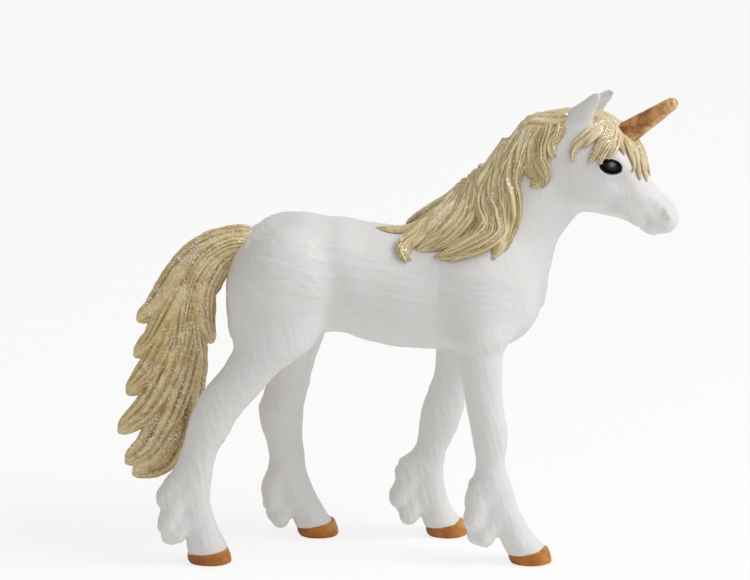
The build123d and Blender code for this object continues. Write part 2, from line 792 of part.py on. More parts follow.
def eye_solid(head, side):
    """An almond plug with a domed face."""
    plane = eye_plane(head, side)
    radius = (eye_length ** 2 / 4 + eye_bulge ** 2) / (2 * eye_bulge)
    plug = extrude(almond(plane, 0), eye_bulge) + extrude(almond(plane, 0), -eye_seat_depth)
    return plug & (Pos(plane.origin + plane.z_dir * (eye_bulge - radius)) * Sphere(radius))


def eye_seat(head, side):
    """The pocket for an eye, open to the outside."""
    plane = eye_plane(head, side)
    opening = almond(plane, peg_clearance)
    return extrude(opening, eye_length) + extrude(opening, -(eye_seat_depth + peg_clearance))


def nostril(head, side):
    """A small oval pit in the muzzle."""
    place, out = head.skin_place(nostril_along_share, nostril_rise_share, side)
    plane = Plane(origin=place + out * nostril_depth, x_dir=head.axis, z_dir=out)
    return extrude(plane * Ellipse(nostril_length / 2, nostril_height / 2), -2 * nostril_depth)


def mouth_line(head):
    """A groove round the muzzle between the lips."""
    half_down = head.radii(mouth_along_share)[1]
    start = head.centre(mouth_along_share) + head.up * (mouth_rise_share * half_down)
    plane = Plane(origin=start, x_dir=head.axis, z_dir=head.up)
    sheet = plane * Rectangle(head_length, head_width, align=(Align.MIN, Align.CENTER))
    slab = extrude(sheet, mouth_gap / 2, both=True)
    lips = head_form(neck_form())
    lips.origin = lips.origin - lips.axis * mouth_depth
    lips.width = lips.width - 2 * mouth_depth
    return slab - lips.solid()


def neck_peg_axis(neck):
    return neck.origin + neck.axis * (neck_peg_start_share * neck.length), neck.axis * -1


def build():
    """Every piece of the figurine by the name of its node."""
    trunk = trunk_form()
    neck = neck_form()
    head = head_form(neck)
    legs = {
        "right_fore": Leg(right_fore_shares, right_fore_hoof_share, fore_leg_depth, -1, full_tuft_share),
        "left_fore": Leg(left_fore_shares, left_fore_hoof_share, fore_leg_depth, 1, full_tuft_share),
        "right_hind": Leg(right_hind_shares, right_hind_hoof_share, hind_leg_depth, -1, full_tuft_share),
        "left_hind": Leg(left_hind_shares, left_hind_hoof_share, hind_leg_depth, 1, left_hind_tuft_share),
    }
    trunk_shape = trunk.solid()
    plain_head = head.solid() + neck.solid()
    pieces = {}

    torso = trunk_shape
    for name, leg in legs.items():
        pieces[f"{name}_leg"] = leg.solid(trunk_shape)
        pieces[f"{name}_hoof"] = leg.hoof()
        torso = torso - socket(*leg.hip_peg_axis(), leg_peg_diameter, leg.hip_peg_span())
    pieces["tail"] = tail_solid(trunk_shape)
    torso = torso - socket(*tail_peg_axis(), tail_peg_diameter, tail_peg_length)
    pieces["torso"] = torso - socket(*neck_peg_axis(neck), neck_peg_diameter, neck_peg_length)

    pieces["horn"] = horn_solid(head, plain_head)
    for side, name in ((-1, "right"), (1, "left")):
        pieces[f"{name}_ear"] = ear_solid(head, side, plain_head)
        pieces[f"{name}_eye"] = eye_solid(head, side)
    ears = [pieces["right_ear"], pieces["left_ear"]]
    seats = [eye_seat(head, -1), eye_seat(head, 1)]
    crest = mane_crest(neck)
    locks = mane_locks(neck, trunk)
    mane_front = [crest] + locks[0][:2] + locks[1][:2]
    pieces["mane"] = mane_solid(neck, crest, locks, [trunk_shape, plain_head] + ears)
    pieces["forelock"] = forelock_solid(head, [plain_head, pieces["horn"]] + mane_front + ears + seats)

    hollows = [horn_socket(head), mouth_line(head)] + seats
    for side in (-1, 1):
        ear_span = ear_peg_length + ear_length / 4
        hollows.append(nostril(head, side))
        hollows.append(socket(*ear_peg_axis(head, side), ear_peg_diameter, ear_span))
    for axis in mane_peg_axes(neck):
        hollows.append(socket(*axis, mane_peg_diameter, mane_peg_length + mane_lock_thickness / 4))
    skull = largest(plain_head - trunk_shape) + peg(*neck_peg_axis(neck), neck_peg_diameter, neck_peg_length)
    skull = skull - hollows
    pieces["head_neck"] = largest(skull)
    return pieces


os.makedirs("parts", exist_ok=True)
for node, piece in build().items():
    export_step(piece, f"parts/{node}.step")
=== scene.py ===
import bpy
import math
from functools import partial
import numpy as np
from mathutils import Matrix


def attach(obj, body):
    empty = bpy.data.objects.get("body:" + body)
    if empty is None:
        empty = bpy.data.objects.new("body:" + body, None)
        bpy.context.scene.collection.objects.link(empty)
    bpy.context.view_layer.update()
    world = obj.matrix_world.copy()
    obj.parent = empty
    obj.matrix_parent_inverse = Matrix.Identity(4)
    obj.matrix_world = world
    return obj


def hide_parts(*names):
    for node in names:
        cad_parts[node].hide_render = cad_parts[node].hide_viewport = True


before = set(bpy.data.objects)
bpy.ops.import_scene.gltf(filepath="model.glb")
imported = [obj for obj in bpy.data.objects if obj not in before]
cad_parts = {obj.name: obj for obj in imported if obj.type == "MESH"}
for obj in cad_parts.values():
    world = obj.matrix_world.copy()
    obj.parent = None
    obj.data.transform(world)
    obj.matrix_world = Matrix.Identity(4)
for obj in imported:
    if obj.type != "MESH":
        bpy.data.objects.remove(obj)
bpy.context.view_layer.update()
mm = 0.001                                   # all shapes are worked out in millimetres
farAway = 1e3                                # a distance that no surface has
fullTurn = 2 * math.pi

# tools: colour, nodes, meshes


def srgb(hexCode):
    # sRGB hex to linear light
    parts = [int(hexCode[i:i + 2], 16) / 255 for i in (1, 3, 5)]
    return [c / 12.92 if c <= 0.04045 else ((c + 0.055) / 1.055) ** 2.4 for c in parts] + [1.0]


def setSockets(made, sockets):
    for key, value in sockets.items():
        made.inputs[key].default_value = value


def node(tree, kind, links=None, sockets=None, **settings):
    # adds one node: settings are its properties, sockets its values, links its inputs
    made = tree.nodes.new(kind)
    for key, value in settings.items():
        setattr(made, key, value)
    setSockets(made, sockets or {})
    for key, source in (links or {}).items():
        tree.links.new(source, made.inputs[key])
    return made


def blendColours(tree, share, first, second):
    # mixes two colours, each a fixed value or the output of a node
    made = node(tree, "ShaderNodeMix", {0: share}, data_type="RGBA")
    for index, colour in ((6, first), (7, second)):
        if isinstance(colour, list):
            made.inputs[index].default_value = colour
        else:
            tree.links.new(colour, made.inputs[index])
    return made.outputs[2]


def startMaterial(name):
    # a new material, its node tree and its main shader
    material = bpy.data.materials.new(name)
    material.use_nodes = True
    return material, material.node_tree, material.node_tree.nodes["Principled BSDF"]


def meshPiece(name, points, groups, material, replaced):
    # points in mm, faces as one index array for each number of corners; the piece rides on the only body
    sizes = np.concatenate([np.full(len(g), g.shape[1]) for g in groups])
    corners = np.concatenate([g.ravel() for g in groups]).astype(np.int32)
    mesh = bpy.data.meshes.new(name)
    mesh.vertices.add(len(points))
    mesh.vertices.foreach_set("co", (points * mm).astype(np.float32).ravel())
    mesh.loops.add(len(corners))
    mesh.loops.foreach_set("vertex_index", corners)
    mesh.polygons.add(len(sizes))
    mesh.polygons.foreach_set("loop_start", np.concatenate([[0], np.cumsum(sizes)[:-1]]).astype(np.int32))
    mesh.polygons.foreach_set("use_smooth", np.full(len(sizes), True))
    mesh.update(calc_edges=True)
    mesh.validate()
    piece = bpy.data.objects.new(name, mesh)
    bpy.context.scene.collection.objects.link(piece)
    mesh.materials.append(material)
    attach(piece, "root")
    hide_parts(*replaced)
    print("piece", name, len(points), "points")
    return piece


def addAttribute(piece, name, values):
    # one number for each point, which the piece's material reads
    layer = piece.data.attributes.new(name, "FLOAT", "POINT")
    layer.data.foreach_set("value", values.astype(np.float32))


def ringMesh(rings):
    # closed surface from rings of points of one size, with a middle point at each end
    rows, size = rings.shape[:2]
    points = np.concatenate([rings.reshape(-1, 3), rings[:1].mean(1), rings[-1:].mean(1)])
    i, j = np.meshgrid(np.arange(rows - 1), np.arange(size), indexing="ij")
    here, ahead, after = i * size, (i + 1) * size, (j + 1) % size
    quads = np.stack([here + j, here + after, ahead + after, ahead + j], -1).reshape(-1, 4)
    j = np.arange(size)
    after = (j + 1) % size
    first, last = rows * size, rows * size + 1
    bottom = np.stack([np.full(size, first), after, j], -1)
    top = np.stack([np.full(size, last), (rows - 1) * size + j, (rows - 1) * size + after], -1)
    return points, [quads, np.concatenate([bottom, top])]


# tools: curves through stations and distance fields


def smoothStep(low, high, x):
    t = np.clip((x - low) / (high - low), 0, 1)
    return t * t * (3 - 2 * t)


def through(stations, places):
    # smooth curve through table rows: first column is the place, slopes limited so that it never overshoots
    rows = np.asarray(stations, np.float32)
    rows = rows[np.argsort(rows[:, 0])]
    at, value = rows[:, 0], rows[:, 1:]
    step = np.diff(at)[:, None]
    rise = np.diff(value, axis=0) / step
    slope = np.zeros_like(value)
    before, after = rise[:-1], rise[1:]
    same = before * after > 0
    slope[1:-1] = np.where(same, 2 * before * after / np.where(same, before + after, 1), 0)
    slope[0], slope[-1] = rise[0], rise[-1]
    place = np.clip(places, at[0], at[-1])
    low = np.clip(np.searchsorted(at, place) - 1, 0, len(at) - 2)
    wide = step[low]
    t = ((place - at[low]) / wide[:, 0])[:, None]
    return (value[low] * (1 + 2 * t) * (1 - t) ** 2 + slope[low] * wide * t * (1 - t) ** 2
            + value[low + 1] * t * t * (3 - 2 * t) - slope[low + 1] * wide * t * t * (1 - t))


def localTo(p, base, *axes):
    # places measured from a base along each of the given directions
    d = p - base.astype(np.float32)
    return [d @ axis.astype(np.float32) for axis in axes]


def blendMin(a, b, room):
    # union of two fields with a rounded valley of the given room
    h = np.maximum(room - np.abs(a - b), 0) / room
    return np.minimum(a, b) - h * h * room / 4


def blendCut(a, b, room):
    # a with b taken out, with a rounded edge
    return -blendMin(-a, b, room)


def stackField(along, rise, side, stations):
    # ovals stacked along an axis: rows are (along, centre, half above, half below, half wide)
    shape = through(stations, along)
    up = rise - shape[:, 0]
    half = np.where(up > 0, shape[:, 1], shape[:, 2])
    share = np.sqrt((up / half) ** 2 + (side / shape[:, 3]) ** 2) + 1e-4
    reach = np.sqrt(up ** 2 + side ** 2) + 1e-4
    core = 0.2                               # inside this share of the oval the depth falls straight
    skin = np.where(share > core, reach * (1 - 1 / share), -np.minimum(half, shape[:, 3]) * (1 - share))
    ends = np.asarray(stations)[:, 0]
    past = np.maximum(np.maximum(along - ends.max(), ends.min() - along), 0)
    return np.where(past > 0, np.hypot(np.maximum(skin, 0), past), skin)


def evenRows(rows):
    # rows of ovals that are as high above their middle as below it
    return [(along, centre, half, half, wide) for along, centre, half, wide in rows]


def ovoidField(d, radii):
    # ellipsoid round the origin
    r = np.asarray(radii, np.float32)
    k = np.sqrt(((d / r) ** 2).sum(1)) + 1e-5
    return k * (k - 1) / (np.sqrt(((d / r ** 2) ** 2).sum(1)) + 1e-5)


def blobField(p, centre, radii, tilt):
    # ellipsoid, tilted in the side view by an angle in degrees
    turn = math.radians(tilt)
    d = p - np.asarray(centre, np.float32)
    x = d[:, 0] * math.cos(turn) + d[:, 2] * math.sin(turn)
    z = d[:, 2] * math.cos(turn) - d[:, 0] * math.sin(turn)
    return ovoidField(np.stack([x, d[:, 1], z], 1), radii)


def coneField(p, rows):
    # rounded cones end to end: rows are (x, y, z, radius)
    rows = np.asarray(rows, np.float32)
    best = np.full(len(p), farAway, np.float32)
    for a, b in zip(rows, rows[1:]):
        line = b[:3] - a[:3]
        t = np.clip(((p - a[:3]) @ line) / (line @ line), 0, 1)
        d = np.linalg.norm(p - a[:3] - t[:, None] * line, axis=1) - (a[3] + t * (b[3] - a[3]))
        best = np.minimum(best, d)
    return best


def latticeNoise(p, seed):
    # smooth value noise on a unit lattice, from -1 to 1; a corner's value is a whole-number hash of its place
    cell = np.floor(p).astype(np.int64)
    f = p - cell
    f = f * f * (3 - 2 * f)
    total = np.zeros(len(p))
    for corner in range(8):
        bit = np.array([corner & 1, corner >> 1 & 1, corner >> 2 & 1])
        c = cell + bit
        h = (c[:, 0] * 73856093 ^ c[:, 1] * 19349663 ^ c[:, 2] * 83492791 ^ seed * 2654435761) & 0xFFFFFF
        h = (h * 1103515245 + 12345) & 0x7FFFFF
        weight = np.prod(np.where(bit, f, 1 - f), axis=1)
        total += weight * (h / 0x3FFFFF - 1)
    return total


def fieldSlope(field, p, reach):
    # rise of a field along x, y and z, over twice the reach
    return np.stack([field(p + d) - field(p - d) for d in np.eye(3, dtype=np.float32) * reach], 1)


def settle(field, points, step, rounds=3):
    # steps along the slope of the field onto its zero surface; also gives the outward directions
    reach = step * 0.5
    for turn in range(rounds):
        p = points.astype(np.float32)
        slope = fieldSlope(field, p, reach) / (2 * reach)
        size = np.linalg.norm(slope, axis=1) + 1e-6
        move = np.clip(field(p) / size, -reach, reach)
        points = points - slope / size[:, None] * move[:, None]
    return points, slope / size[:, None]


mesher = {"block": 4, "near": 1.6, "chunk": 400000}   # coarse cell in fine cells, its reach, points at once


def skinMesh(field, low, high, step):
    # closed surface where a field crosses zero, with one point in each crossed cell of a grid,
    # then moved along the field's slope until it lies on the surface
    low, high = np.asarray(low, float), np.asarray(high, float)
    block = mesher["block"]
    count = (np.ceil((high - low) / (step * block)).astype(int) + 1) * block
    axes = [low[i] + step * np.arange(count[i]) for i in range(3)]
    coarseAxes = [a[block // 2::block] for a in axes]
    grid = np.stack(np.meshgrid(*coarseAxes, indexing="ij"), -1).reshape(-1, 3).astype(np.float32)
    coarse = field(grid).reshape([len(a) for a in coarseAxes])
    values = coarse.repeat(block, 0).repeat(block, 1).repeat(block, 2).astype(np.float32)
    index = np.nonzero(np.abs(values) < step * block * mesher["near"])
    fine = np.stack([axes[i][index[i]] for i in range(3)], 1).astype(np.float32)
    parts = np.array_split(fine, max(1, len(fine) // mesher["chunk"]))
    values[index] = np.concatenate([field(part) for part in parts])
    inside = values < 0
    corner = [(i, j, k) for i in (0, 1) for j in (0, 1) for k in (0, 1)]
    ends = np.array(inside.shape) - 1
    shifted = [tuple(slice(c, c + end) for c, end in zip(at, ends)) for at in corner]
    filled = sum(inside[part].astype(np.int8) for part in shifted)
    cells = np.stack(np.nonzero((filled > 0) & (filled < 8)), 1)
    v = np.stack([values[tuple((cells + at).T)] for at in corner], 1)
    total = np.zeros((len(cells), 3))
    hits = np.zeros(len(cells))
    for a in range(8):
        for b in range(a + 1, 8):
            ca, cb = np.array(corner[a]), np.array(corner[b])
            if np.abs(ca - cb).sum() == 1:
                cross = (v[:, a] < 0) != (v[:, b] < 0)
                t = np.where(cross, v[:, a] / np.where(cross, v[:, a] - v[:, b], 1), 0)
                total += np.where(cross[:, None], ca + t[:, None] * (cb - ca), 0)
                hits += cross
    points = low + step * (cells + total / hits[:, None])
    order = np.full(filled.shape, -1, np.int64)
    order[tuple(cells.T)] = np.arange(len(cells))
    quads = []
    for axis in range(3):
        other = [i for i in range(3) if i != axis]
        start, end = [slice(1, -1)] * 3, [slice(1, -1)] * 3
        start[axis], end[axis] = slice(0, -1), slice(1, None)
        here, there = inside[tuple(start)], inside[tuple(end)]
        where = np.stack(np.nonzero(here != there), 1)
        base = where + 1
        base[:, axis] -= 1
        shift = np.zeros((4, 3), int)
        shift[1, other[0]] = shift[2, other[0]] = -1
        shift[2, other[1]] = shift[3, other[1]] = -1
        quad = np.stack([order[tuple((base + s).T)] for s in shift], 1)
        flip = here[tuple(where.T)] != (axis == 1)
        quad[flip] = quad[flip][:, ::-1]
        quads.append(quad)
    points, normals = settle(field, points, step)
    return points, np.concatenate(quads), normals


# body: one skin over trunk, neck, head and legs, cut into its moulded pieces

trunkRows = evenRows([  # x, middle z, half height, half width
    (-27.2, 42.1, 2.2, 2.1), (-26.8, 41.7, 5.64, 5.0), (-25.7, 42.6, 7.77, 7.6), (-23.4, 43.5, 9.36, 9.3),
    (-19.4, 44.6, 10.15, 10.2), (-14.6, 45.6, 9.94, 10.0), (-9.8, 45.6, 9.2, 9.3), (-4.2, 44.3, 9.53, 9.3),
    (1.4, 43.55, 9.78, 9.5), (7.0, 43.76, 10.26, 9.3), (12.6, 43.6, 10.23, 8.9), (17.4, 42.9, 8.7, 7.8),
    (20.7, 42.3, 6.17, 6.0), (22.6, 42.1, 2.78, 3.0), (23.0, 42.0, 1.2, 1.4),
])
muscles = {  # on the right side: middle, radii, tilt, blend
    "thigh": ((-18.4, -6.0, 43.5), (6.8, 4.9, 10.6), -8, 2.2),
    "shoulder": ((14.6, -5.2, 45.0), (6.2, 3.9, 8.4), 18, 2.4),
}
shoulder = {"low": (34.5, 37.5), "high": (47, 52), "edge": 6.6, "lean": 0.04, "middle": 43, "ramp": 5.5,
            "front": (13.0, 20.0), "rise": 0.95}
flank = {"low": (37, 41), "high": (46, 52), "behind": 9.6, "lean": 0.10, "middle": 44, "width": 2.3,
         "depth": 0.42}
blends = {"legs": 2.6, "neck": 3.6, "head": 1.8, "ears": 1.5}       # room of the valley where a limb joins
neckBase = np.array([14.97, 0, 48.68])
neckAxis = np.array([0.665, 0, 0.747])
neckCrest = np.array([-0.747, 0, 0.665])
neckRows = evenRows([  # along, offset, half depth, half width
    (-9, 0, 9.5, 7.2), (-3, 0, 11, 8.2), (3, 0.4, 9.8, 7.2), (10, 1.55, 7.75, 5.6),
    (16, 1.7, 7.4, 5.0), (21, 1.2, 7.0, 4.7), (25, 0.5, 5.0, 3.6),
])
headBase = np.array([33.38, -0.70, 63.75])
headAxis = np.array([0.734, -0.116, -0.669])
headBrow = np.array([0.661, -0.105, 0.743])
headSide = np.array([0.156, 0.988, 0])
headRows = [  # along, offset, above, below, half width
    (-9.2, 0, 2.6, 1.5, 1.5), (-8, 0, 3.9, 4.0, 3.1), (-5, 0, 5.6, 7.2, 4.6), (-1, 0, 6.1, 8.5, 5.3),
    (2, 0, 5.6, 8.0, 5.1), (5, 0, 4.0, 6.3, 4.2), (7.5, 0, 3.0, 4.8, 3.5), (9.5, 0, 2.8, 3.8, 3.15),
    (11.7, 0, 2.8, 3.4, 2.95), (13.4, 0, 2.2, 2.6, 2.35), (14.6, 0, 1.2, 1.2, 1.3),
]
faceBumps = {  # along the head, above its middle, aside; radii; blend
    "cheek": ((-1.2, -3.3, 3.5), (4.4, 4.2, 1.9), 1.6),
    "brow": ((0.4, 3.3, 4.1), (2.6, 1.0, 1.15), 1.2),
    "nostril rim": ((12.3, 1.4, 1.8), (1.2, 0.95, 1.42), 0.5),
    "chin": ((11.6, -2.4, 0.5), (1.8, 1.1, 1.6), 0.9),
    "lips": ((13.3, 0.1, 0.5), (1.5, 1.7, 1.8), 0.9),
    "jaw": ((7.0, -2.6, 2.6), (3.4, 1.6, 1.1), 1.4),
    "ear bed": ((-6.9, 0.2, 3.0), (2.1, 2.4, 1.2), 1.6),
}
faceHollows = {
    "before the eye": ((4.2, 0.9, 5.2), (2.4, 1.3, 1.0), 1.2),
    "nostril": ((12.7, 1.2, 3.1), (0.5, 0.36, 0.45), 0.35),
    "behind the nostril": ((10.2, 1.3, 4.0), (1.6, 1.4, 1.15), 1.1),
    "under the jaw": ((8.6, -4.4, 3.4), (2.0, 1.2, 1.0), 1.0),
}
faceLines = {  # rows: along, above, aside, radius; blend
    "mouth": ([(10.4, -1.35, 3.0, 0.12), (11.0, -1.27, 2.95, 0.38), (11.8, -1.15, 2.85, 0.10)], 0.35),
    "nostril crease": ([(10.9, 2.3, 2.4, 0.10), (11.1, 1.7, 2.95, 0.26), (11.7, 1.05, 3.3, 0.30),
                        (12.5, 1.05, 3.3, 0.24)], 0.6),
}
stance = 8.0                                 # from the middle of the body to the middle of each hoof
legs = {  # roots: distance from the middle of the upper rows; rows: z, x, half depth, half width;
    # lobes of the tuft: x, z, radius; hoof: x, half length
    "right_hind": {
        "side": -1, "roots": [3.4, 5.1, 6.4, 7.6],
        "rows": [(49, -20.2, 3.4, 2.6), (45, -20.2, 6.6, 4.5), (40, -19.3, 7.2, 4.4),
                 (35.9, -19.8, 6.2, 4.1), (33.4, -21.8, 5.2, 3.7), (31, -24, 4.6, 3.4),
                 (28.5, -26.1, 4.6, 3.2), (26, -27.9, 4.15, 3.0), (23.5, -29.4, 3.7, 2.9),
                 (21, -30.3, 3.36, 2.8), (18.5, -31.4, 2.9, 2.6), (16, -32.1, 2.84, 2.5),
                 (13.6, -32.2, 2.55, 2.45), (10.3, -32.2, 2.35, 2.4), (7.8, -31.7, 2.4, 2.5),
                 (5.3, -31.1, 2.6, 2.7), (2.8, -30.4, 3.2, 3.1), (0.4, -29.9, 3.3, 3.1)],
        "lobes": [[(-33.2, 15.6, 1.3), (-35.2, 12.8, 1.6), (-36.9, 10.5, 1.5)],
                  [(-33.4, 12.6, 1.6), (-35.6, 9.2, 1.7), (-36.7, 6.5, 1.45)],
                  [(-33.2, 10.2, 1.6), (-35.0, 7.2, 1.7), (-36.1, 4.7, 1.5)],
                  [(-32.6, 8.5, 1.5), (-34.2, 6.4, 1.4), (-35.0, 4.9, 1.1)]],
        "hoof": (-29.9, 3.6)},
    "left_hind": {
        "side": 1, "roots": [3.4, 5.1, 6.4, 7.6],
        "rows": [(49, -18, 3.4, 2.6), (45, -18, 6.2, 4.5), (40, -16.8, 6.4, 4.4), (35.5, -16.3, 5.3, 4.1),
                 (31.6, -16.9, 4.7, 3.4), (29.1, -17.3, 4.2, 3.2), (25.8, -17.4, 3.5, 3.0),
                 (23.3, -18, 3.5, 2.9), (20.9, -18.6, 3.6, 2.8), (18.4, -18.5, 3.36, 2.6),
                 (15.9, -18.1, 2.96, 2.5), (13.4, -17.7, 2.84, 2.45), (10.9, -17.3, 2.7, 2.4),
                 (8.4, -16.4, 2.7, 2.5), (6, -15.3, 2.7, 2.6), (3.5, -14.1, 2.9, 2.9), (1.5, -13, 3.2, 3.1),
                 (0.4, -12.6, 3.2, 3.1)],
        "lobes": [[(-18.6, 11.0, 1.2), (-19.5, 9.4, 1.3), (-20.1, 7.7, 1.3)],
                  [(-18.6, 10.6, 1.6), (-19.9, 8, 1.6), (-20.0, 5.8, 1.45)],
                  [(-17.6, 8.6, 1.6), (-19.1, 5.8, 1.6), (-19.5, 3.9, 1.4)],
                  [(-16.8, 7, 1.5), (-18.1, 4.6, 1.4), (-18.7, 3, 1.3)]],
        "hoof": (-12.6, 3.4)},
    "right_fore": {
        "side": -1, "roots": [3.4, 4.9, 6.5, 7.5],
        "rows": [(47.5, 13.4, 3.2, 2.5), (43.4, 13.4, 5.6, 3.9), (38.4, 13.4, 5.0, 3.8),
                 (35.1, 13.3, 3.9, 3.3), (31.8, 13.5, 3.36, 3.0), (28.5, 13.8, 3.1, 2.8),
                 (25.2, 14.2, 2.9, 2.7), (21.9, 14.8, 2.9, 2.8), (19.4, 15, 2.7, 2.7), (16.9, 15, 2.3, 2.4),
                 (14.4, 15.4, 2.45, 2.3), (11.9, 16, 2.6, 2.4), (9.4, 16.7, 2.6, 2.5), (7, 17.8, 2.64, 2.6),
                 (4.5, 19.1, 2.84, 2.8), (2.3, 20.6, 3.3, 3.1), (0.4, 21.5, 3.2, 3.1)],
        "lobes": [[(14.6, 14.6, 1.4), (13.2, 12.2, 1.5), (12.5, 9.9, 1.5)],
                  [(14.8, 12.2, 1.6), (13.2, 9.6, 1.7), (12.3, 7.2, 1.5)],
                  [(15.3, 10, 1.6), (13.8, 7.2, 1.7), (12.9, 4.8, 1.6)],
                  [(16.2, 8.2, 1.5), (15, 5.9, 1.4), (14.1, 4.4, 1.35)]],
        "hoof": (21.5, 3.5)},
    "left_fore": {
        "side": 1, "roots": [3.4, 4.9, 6.5, 7.6],
        "rows": [(47.5, 11.3, 3.2, 2.5), (43, 11.3, 5.4, 3.9), (38, 11.1, 4.8, 3.8), (34, 10.9, 4, 3.3),
                 (30.8, 10.2, 3.8, 3.0), (27.5, 9.5, 3.3, 2.8), (24.2, 8.3, 3.1, 2.7),
                 (20.9, 7.4, 3.36, 2.8), (18.4, 6.9, 3.16, 2.7), (15.9, 6.2, 2.8, 2.4),
                 (13.4, 5.5, 2.4, 2.3), (10.9, 5.2, 2.4, 2.4), (8.4, 5.4, 2.36, 2.5), (6, 5.9, 2.4, 2.6),
                 (4, 6.6, 2.64, 2.8), (2, 7.5, 3.1, 3.1), (0.4, 8.2, 3.1, 3.1)],
        "lobes": [[(3.9, 13, 1.2), (1.8, 11.2, 1.3), (1.0, 10.0, 1.1)],
                  [(3.6, 11, 1.6), (1.6, 8.4, 1.6), (0.4, 6.5, 1.45)],
                  [(4, 8.6, 1.5), (2.4, 6.4, 1.6), (1.3, 5.0, 1.3)],
                  [(4.4, 7, 1.5), (3, 5, 1.5), (2, 3.6, 1.4)]],
        "hoof": (8.2, 3.4)},
}
tuft = {"top": 20, "reach": 8, "spread": 0.95, "stagger": 0.35, "fuller": 0.22, "tip": 0.92, "lobeBlend": 0.7,
        "legBlend": 1.2}
coronet = {"toe": 2.5, "heel": 1.3, "length": 7.0, "seam": 0.03}     # height of the hoof's top edge
coronetSlant = (coronet["toe"] - coronet["heel"]) / coronet["length"]


def coronetTop(ahead):
    # height of the hoof's top edge at a distance ahead of the hoof's middle
    return (coronet["toe"] + coronet["heel"]) / 2 + coronetSlant * ahead


def legShaft(p, leg):
    # ovals stacked up the leg, round a line that leans in towards the trunk
    asides = leg["roots"] + [stance] * (len(leg["rows"]) - len(leg["roots"]))
    line = [(row[0], leg["side"] * aside) for row, aside in zip(leg["rows"], asides)]
    aside = through(line, p[:, 2])[:, 0]
    return stackField(p[:, 2], p[:, 0], p[:, 1] - aside, evenRows(leg["rows"]))


def legField(p, leg):
    # the shaft and its tuft, where each lobe is drawn twice, to both sides of the leg's middle
    field = legShaft(p, leg)
    near = np.nonzero((p[:, 2] < tuft["top"]) & (field < tuft["reach"]))[0]
    lobes = np.full(len(near), farAway, np.float32)
    for index, lobe in enumerate(leg["lobes"]):
        for lean in (-1, 1):
            spread = lean * tuft["spread"] + tuft["stagger"] * (-1) ** index
            rows = []
            for k, (x, z, r) in enumerate(lobe):
                aside = leg["side"] * stance + spread * (0.5 + 0.5 * k)
                rows.append((x, aside, z, (r + tuft["fuller"]) * (tuft["tip"] if k == len(lobe) - 1 else 1)))
            lobes = blendMin(lobes, coneField(p[near], rows), tuft["lobeBlend"])
    field[near] = blendMin(field[near], lobes, tuft["legBlend"])
    return field


def headLocal(p):
    return localTo(p, headBase, headAxis, headBrow, headSide)


def headPlace(s, t, v):
    return headBase + s * headAxis + t * headBrow + v * headSide


eye = {"along": 0.40, "rise": 1.80, "aside": 5.1, "half": 1.84, "tall": 1.22, "tilt": 33.0, "lean": 12.0,
       "bulge": 0.55, "rim": 0.16, "rimSunk": 0.1, "rimBlend": 1.1, "dish": 0.55, "dishBlend": 0.25}


def eyeLocal(q):
    # place on the eye's own plane: along its long way, across it, and outward; q is in head directions
    turn, lean = math.radians(eye["tilt"]), math.radians(eye["lean"])
    d = q - np.array([eye["along"], eye["rise"], eye["aside"]], np.float32)
    up = d[:, 1] * math.cos(lean) - d[:, 2] * math.sin(lean)
    out = d[:, 2] * math.cos(lean) + d[:, 1] * math.sin(lean)
    along = d[:, 0] * math.cos(turn) + up * math.sin(turn)
    return along, up * math.cos(turn) - d[:, 0] * math.sin(turn), out


ear = {"along": -7.9, "rise": 1.0, "aside": 1.9, "length": 8.0, "width": 2.35, "depth": 1.2, "splay": 10.0,
       "facing": 14.0, "nod": 0.5, "leans": {-1: 10.5, 1: -1.5}, "cut": 3.2, "root": (-2.6, 0, 1.3, 1.3, 1.7),
       "scoopBack": -1.1, "scoopDeep": 1.3, "scoopWide": 0.80, "scoopBlend": 0.35, "behind": -3,
       "above": -3.5}
earRows = [  # share of the length, of the width, of the depth
    (0.0, 1.12, 1.232), (0.15, 1.029, 1.1025), (0.32, 0.88, 0.95), (0.52, 0.69, 0.76), (0.72, 0.49, 0.54),
    (0.87, 0.36, 0.38), (0.95, 0.26, 0.28), (1.0, 0.09, 0.12)]
earSides = {"right_ear": -1, "left_ear": 1}


def earFrame(side):
    # foot of the ear and its directions: up the leaf, across the leaf and out of its back
    lean, splay, facing = (math.radians(angle) for angle in (ear["leans"][side], ear["splay"], ear["facing"]))
    outward = headSide * side
    upright = headBrow * math.cos(lean) - headAxis * math.sin(lean)
    tall = upright * math.cos(splay) + outward * math.sin(splay)
    ahead = headAxis - tall * np.dot(headAxis, tall)
    ahead /= np.linalg.norm(ahead)
    away = np.cross(tall, ahead)
    away = away * np.sign(np.dot(away, outward))
    broad = ahead * math.cos(facing) + away * math.sin(facing)
    out = away * math.cos(facing) - ahead * math.sin(facing)
    return headPlace(ear["along"], ear["rise"], ear["aside"] * side), tall, broad, out


def earLocal(p, side):
    # place on an ear: up the leaf, out of its back, and across it from its bent middle line
    foot, tall, broad, out = earFrame(side)
    up, deep, wide = localTo(p, foot, tall, out, broad)
    return up, deep, wide - ear["nod"] * np.clip(up / ear["length"], 0, 1) ** 2


def earOvals(rows, back, deep, wide):
    # rows in mm for the leaf or its scoop, whose place and sizes are given as shares of the leaf's
    return [(share * ear["length"], back * ear["depth"] * d, deep * ear["depth"] * d, deep * ear["depth"] * d,
             wide * ear["width"] * w) for share, w, d in rows]


def earLeaf(up, deep, wide):
    # ovals stacked up the leaf, with a root inside the head
    return stackField(up, deep, wide, [ear["root"]] + earOvals(earRows, 0, 1, 1))


def earField(p, side):
    # the leaf with a scoop taken out of its inner face
    place = earLocal(p, side)
    scoop = earOvals(earRows[2:-1], ear["scoopBack"], ear["scoopDeep"], ear["scoopWide"])
    return blendCut(earLeaf(*place), stackField(*place, scoop), ear["scoopBlend"])


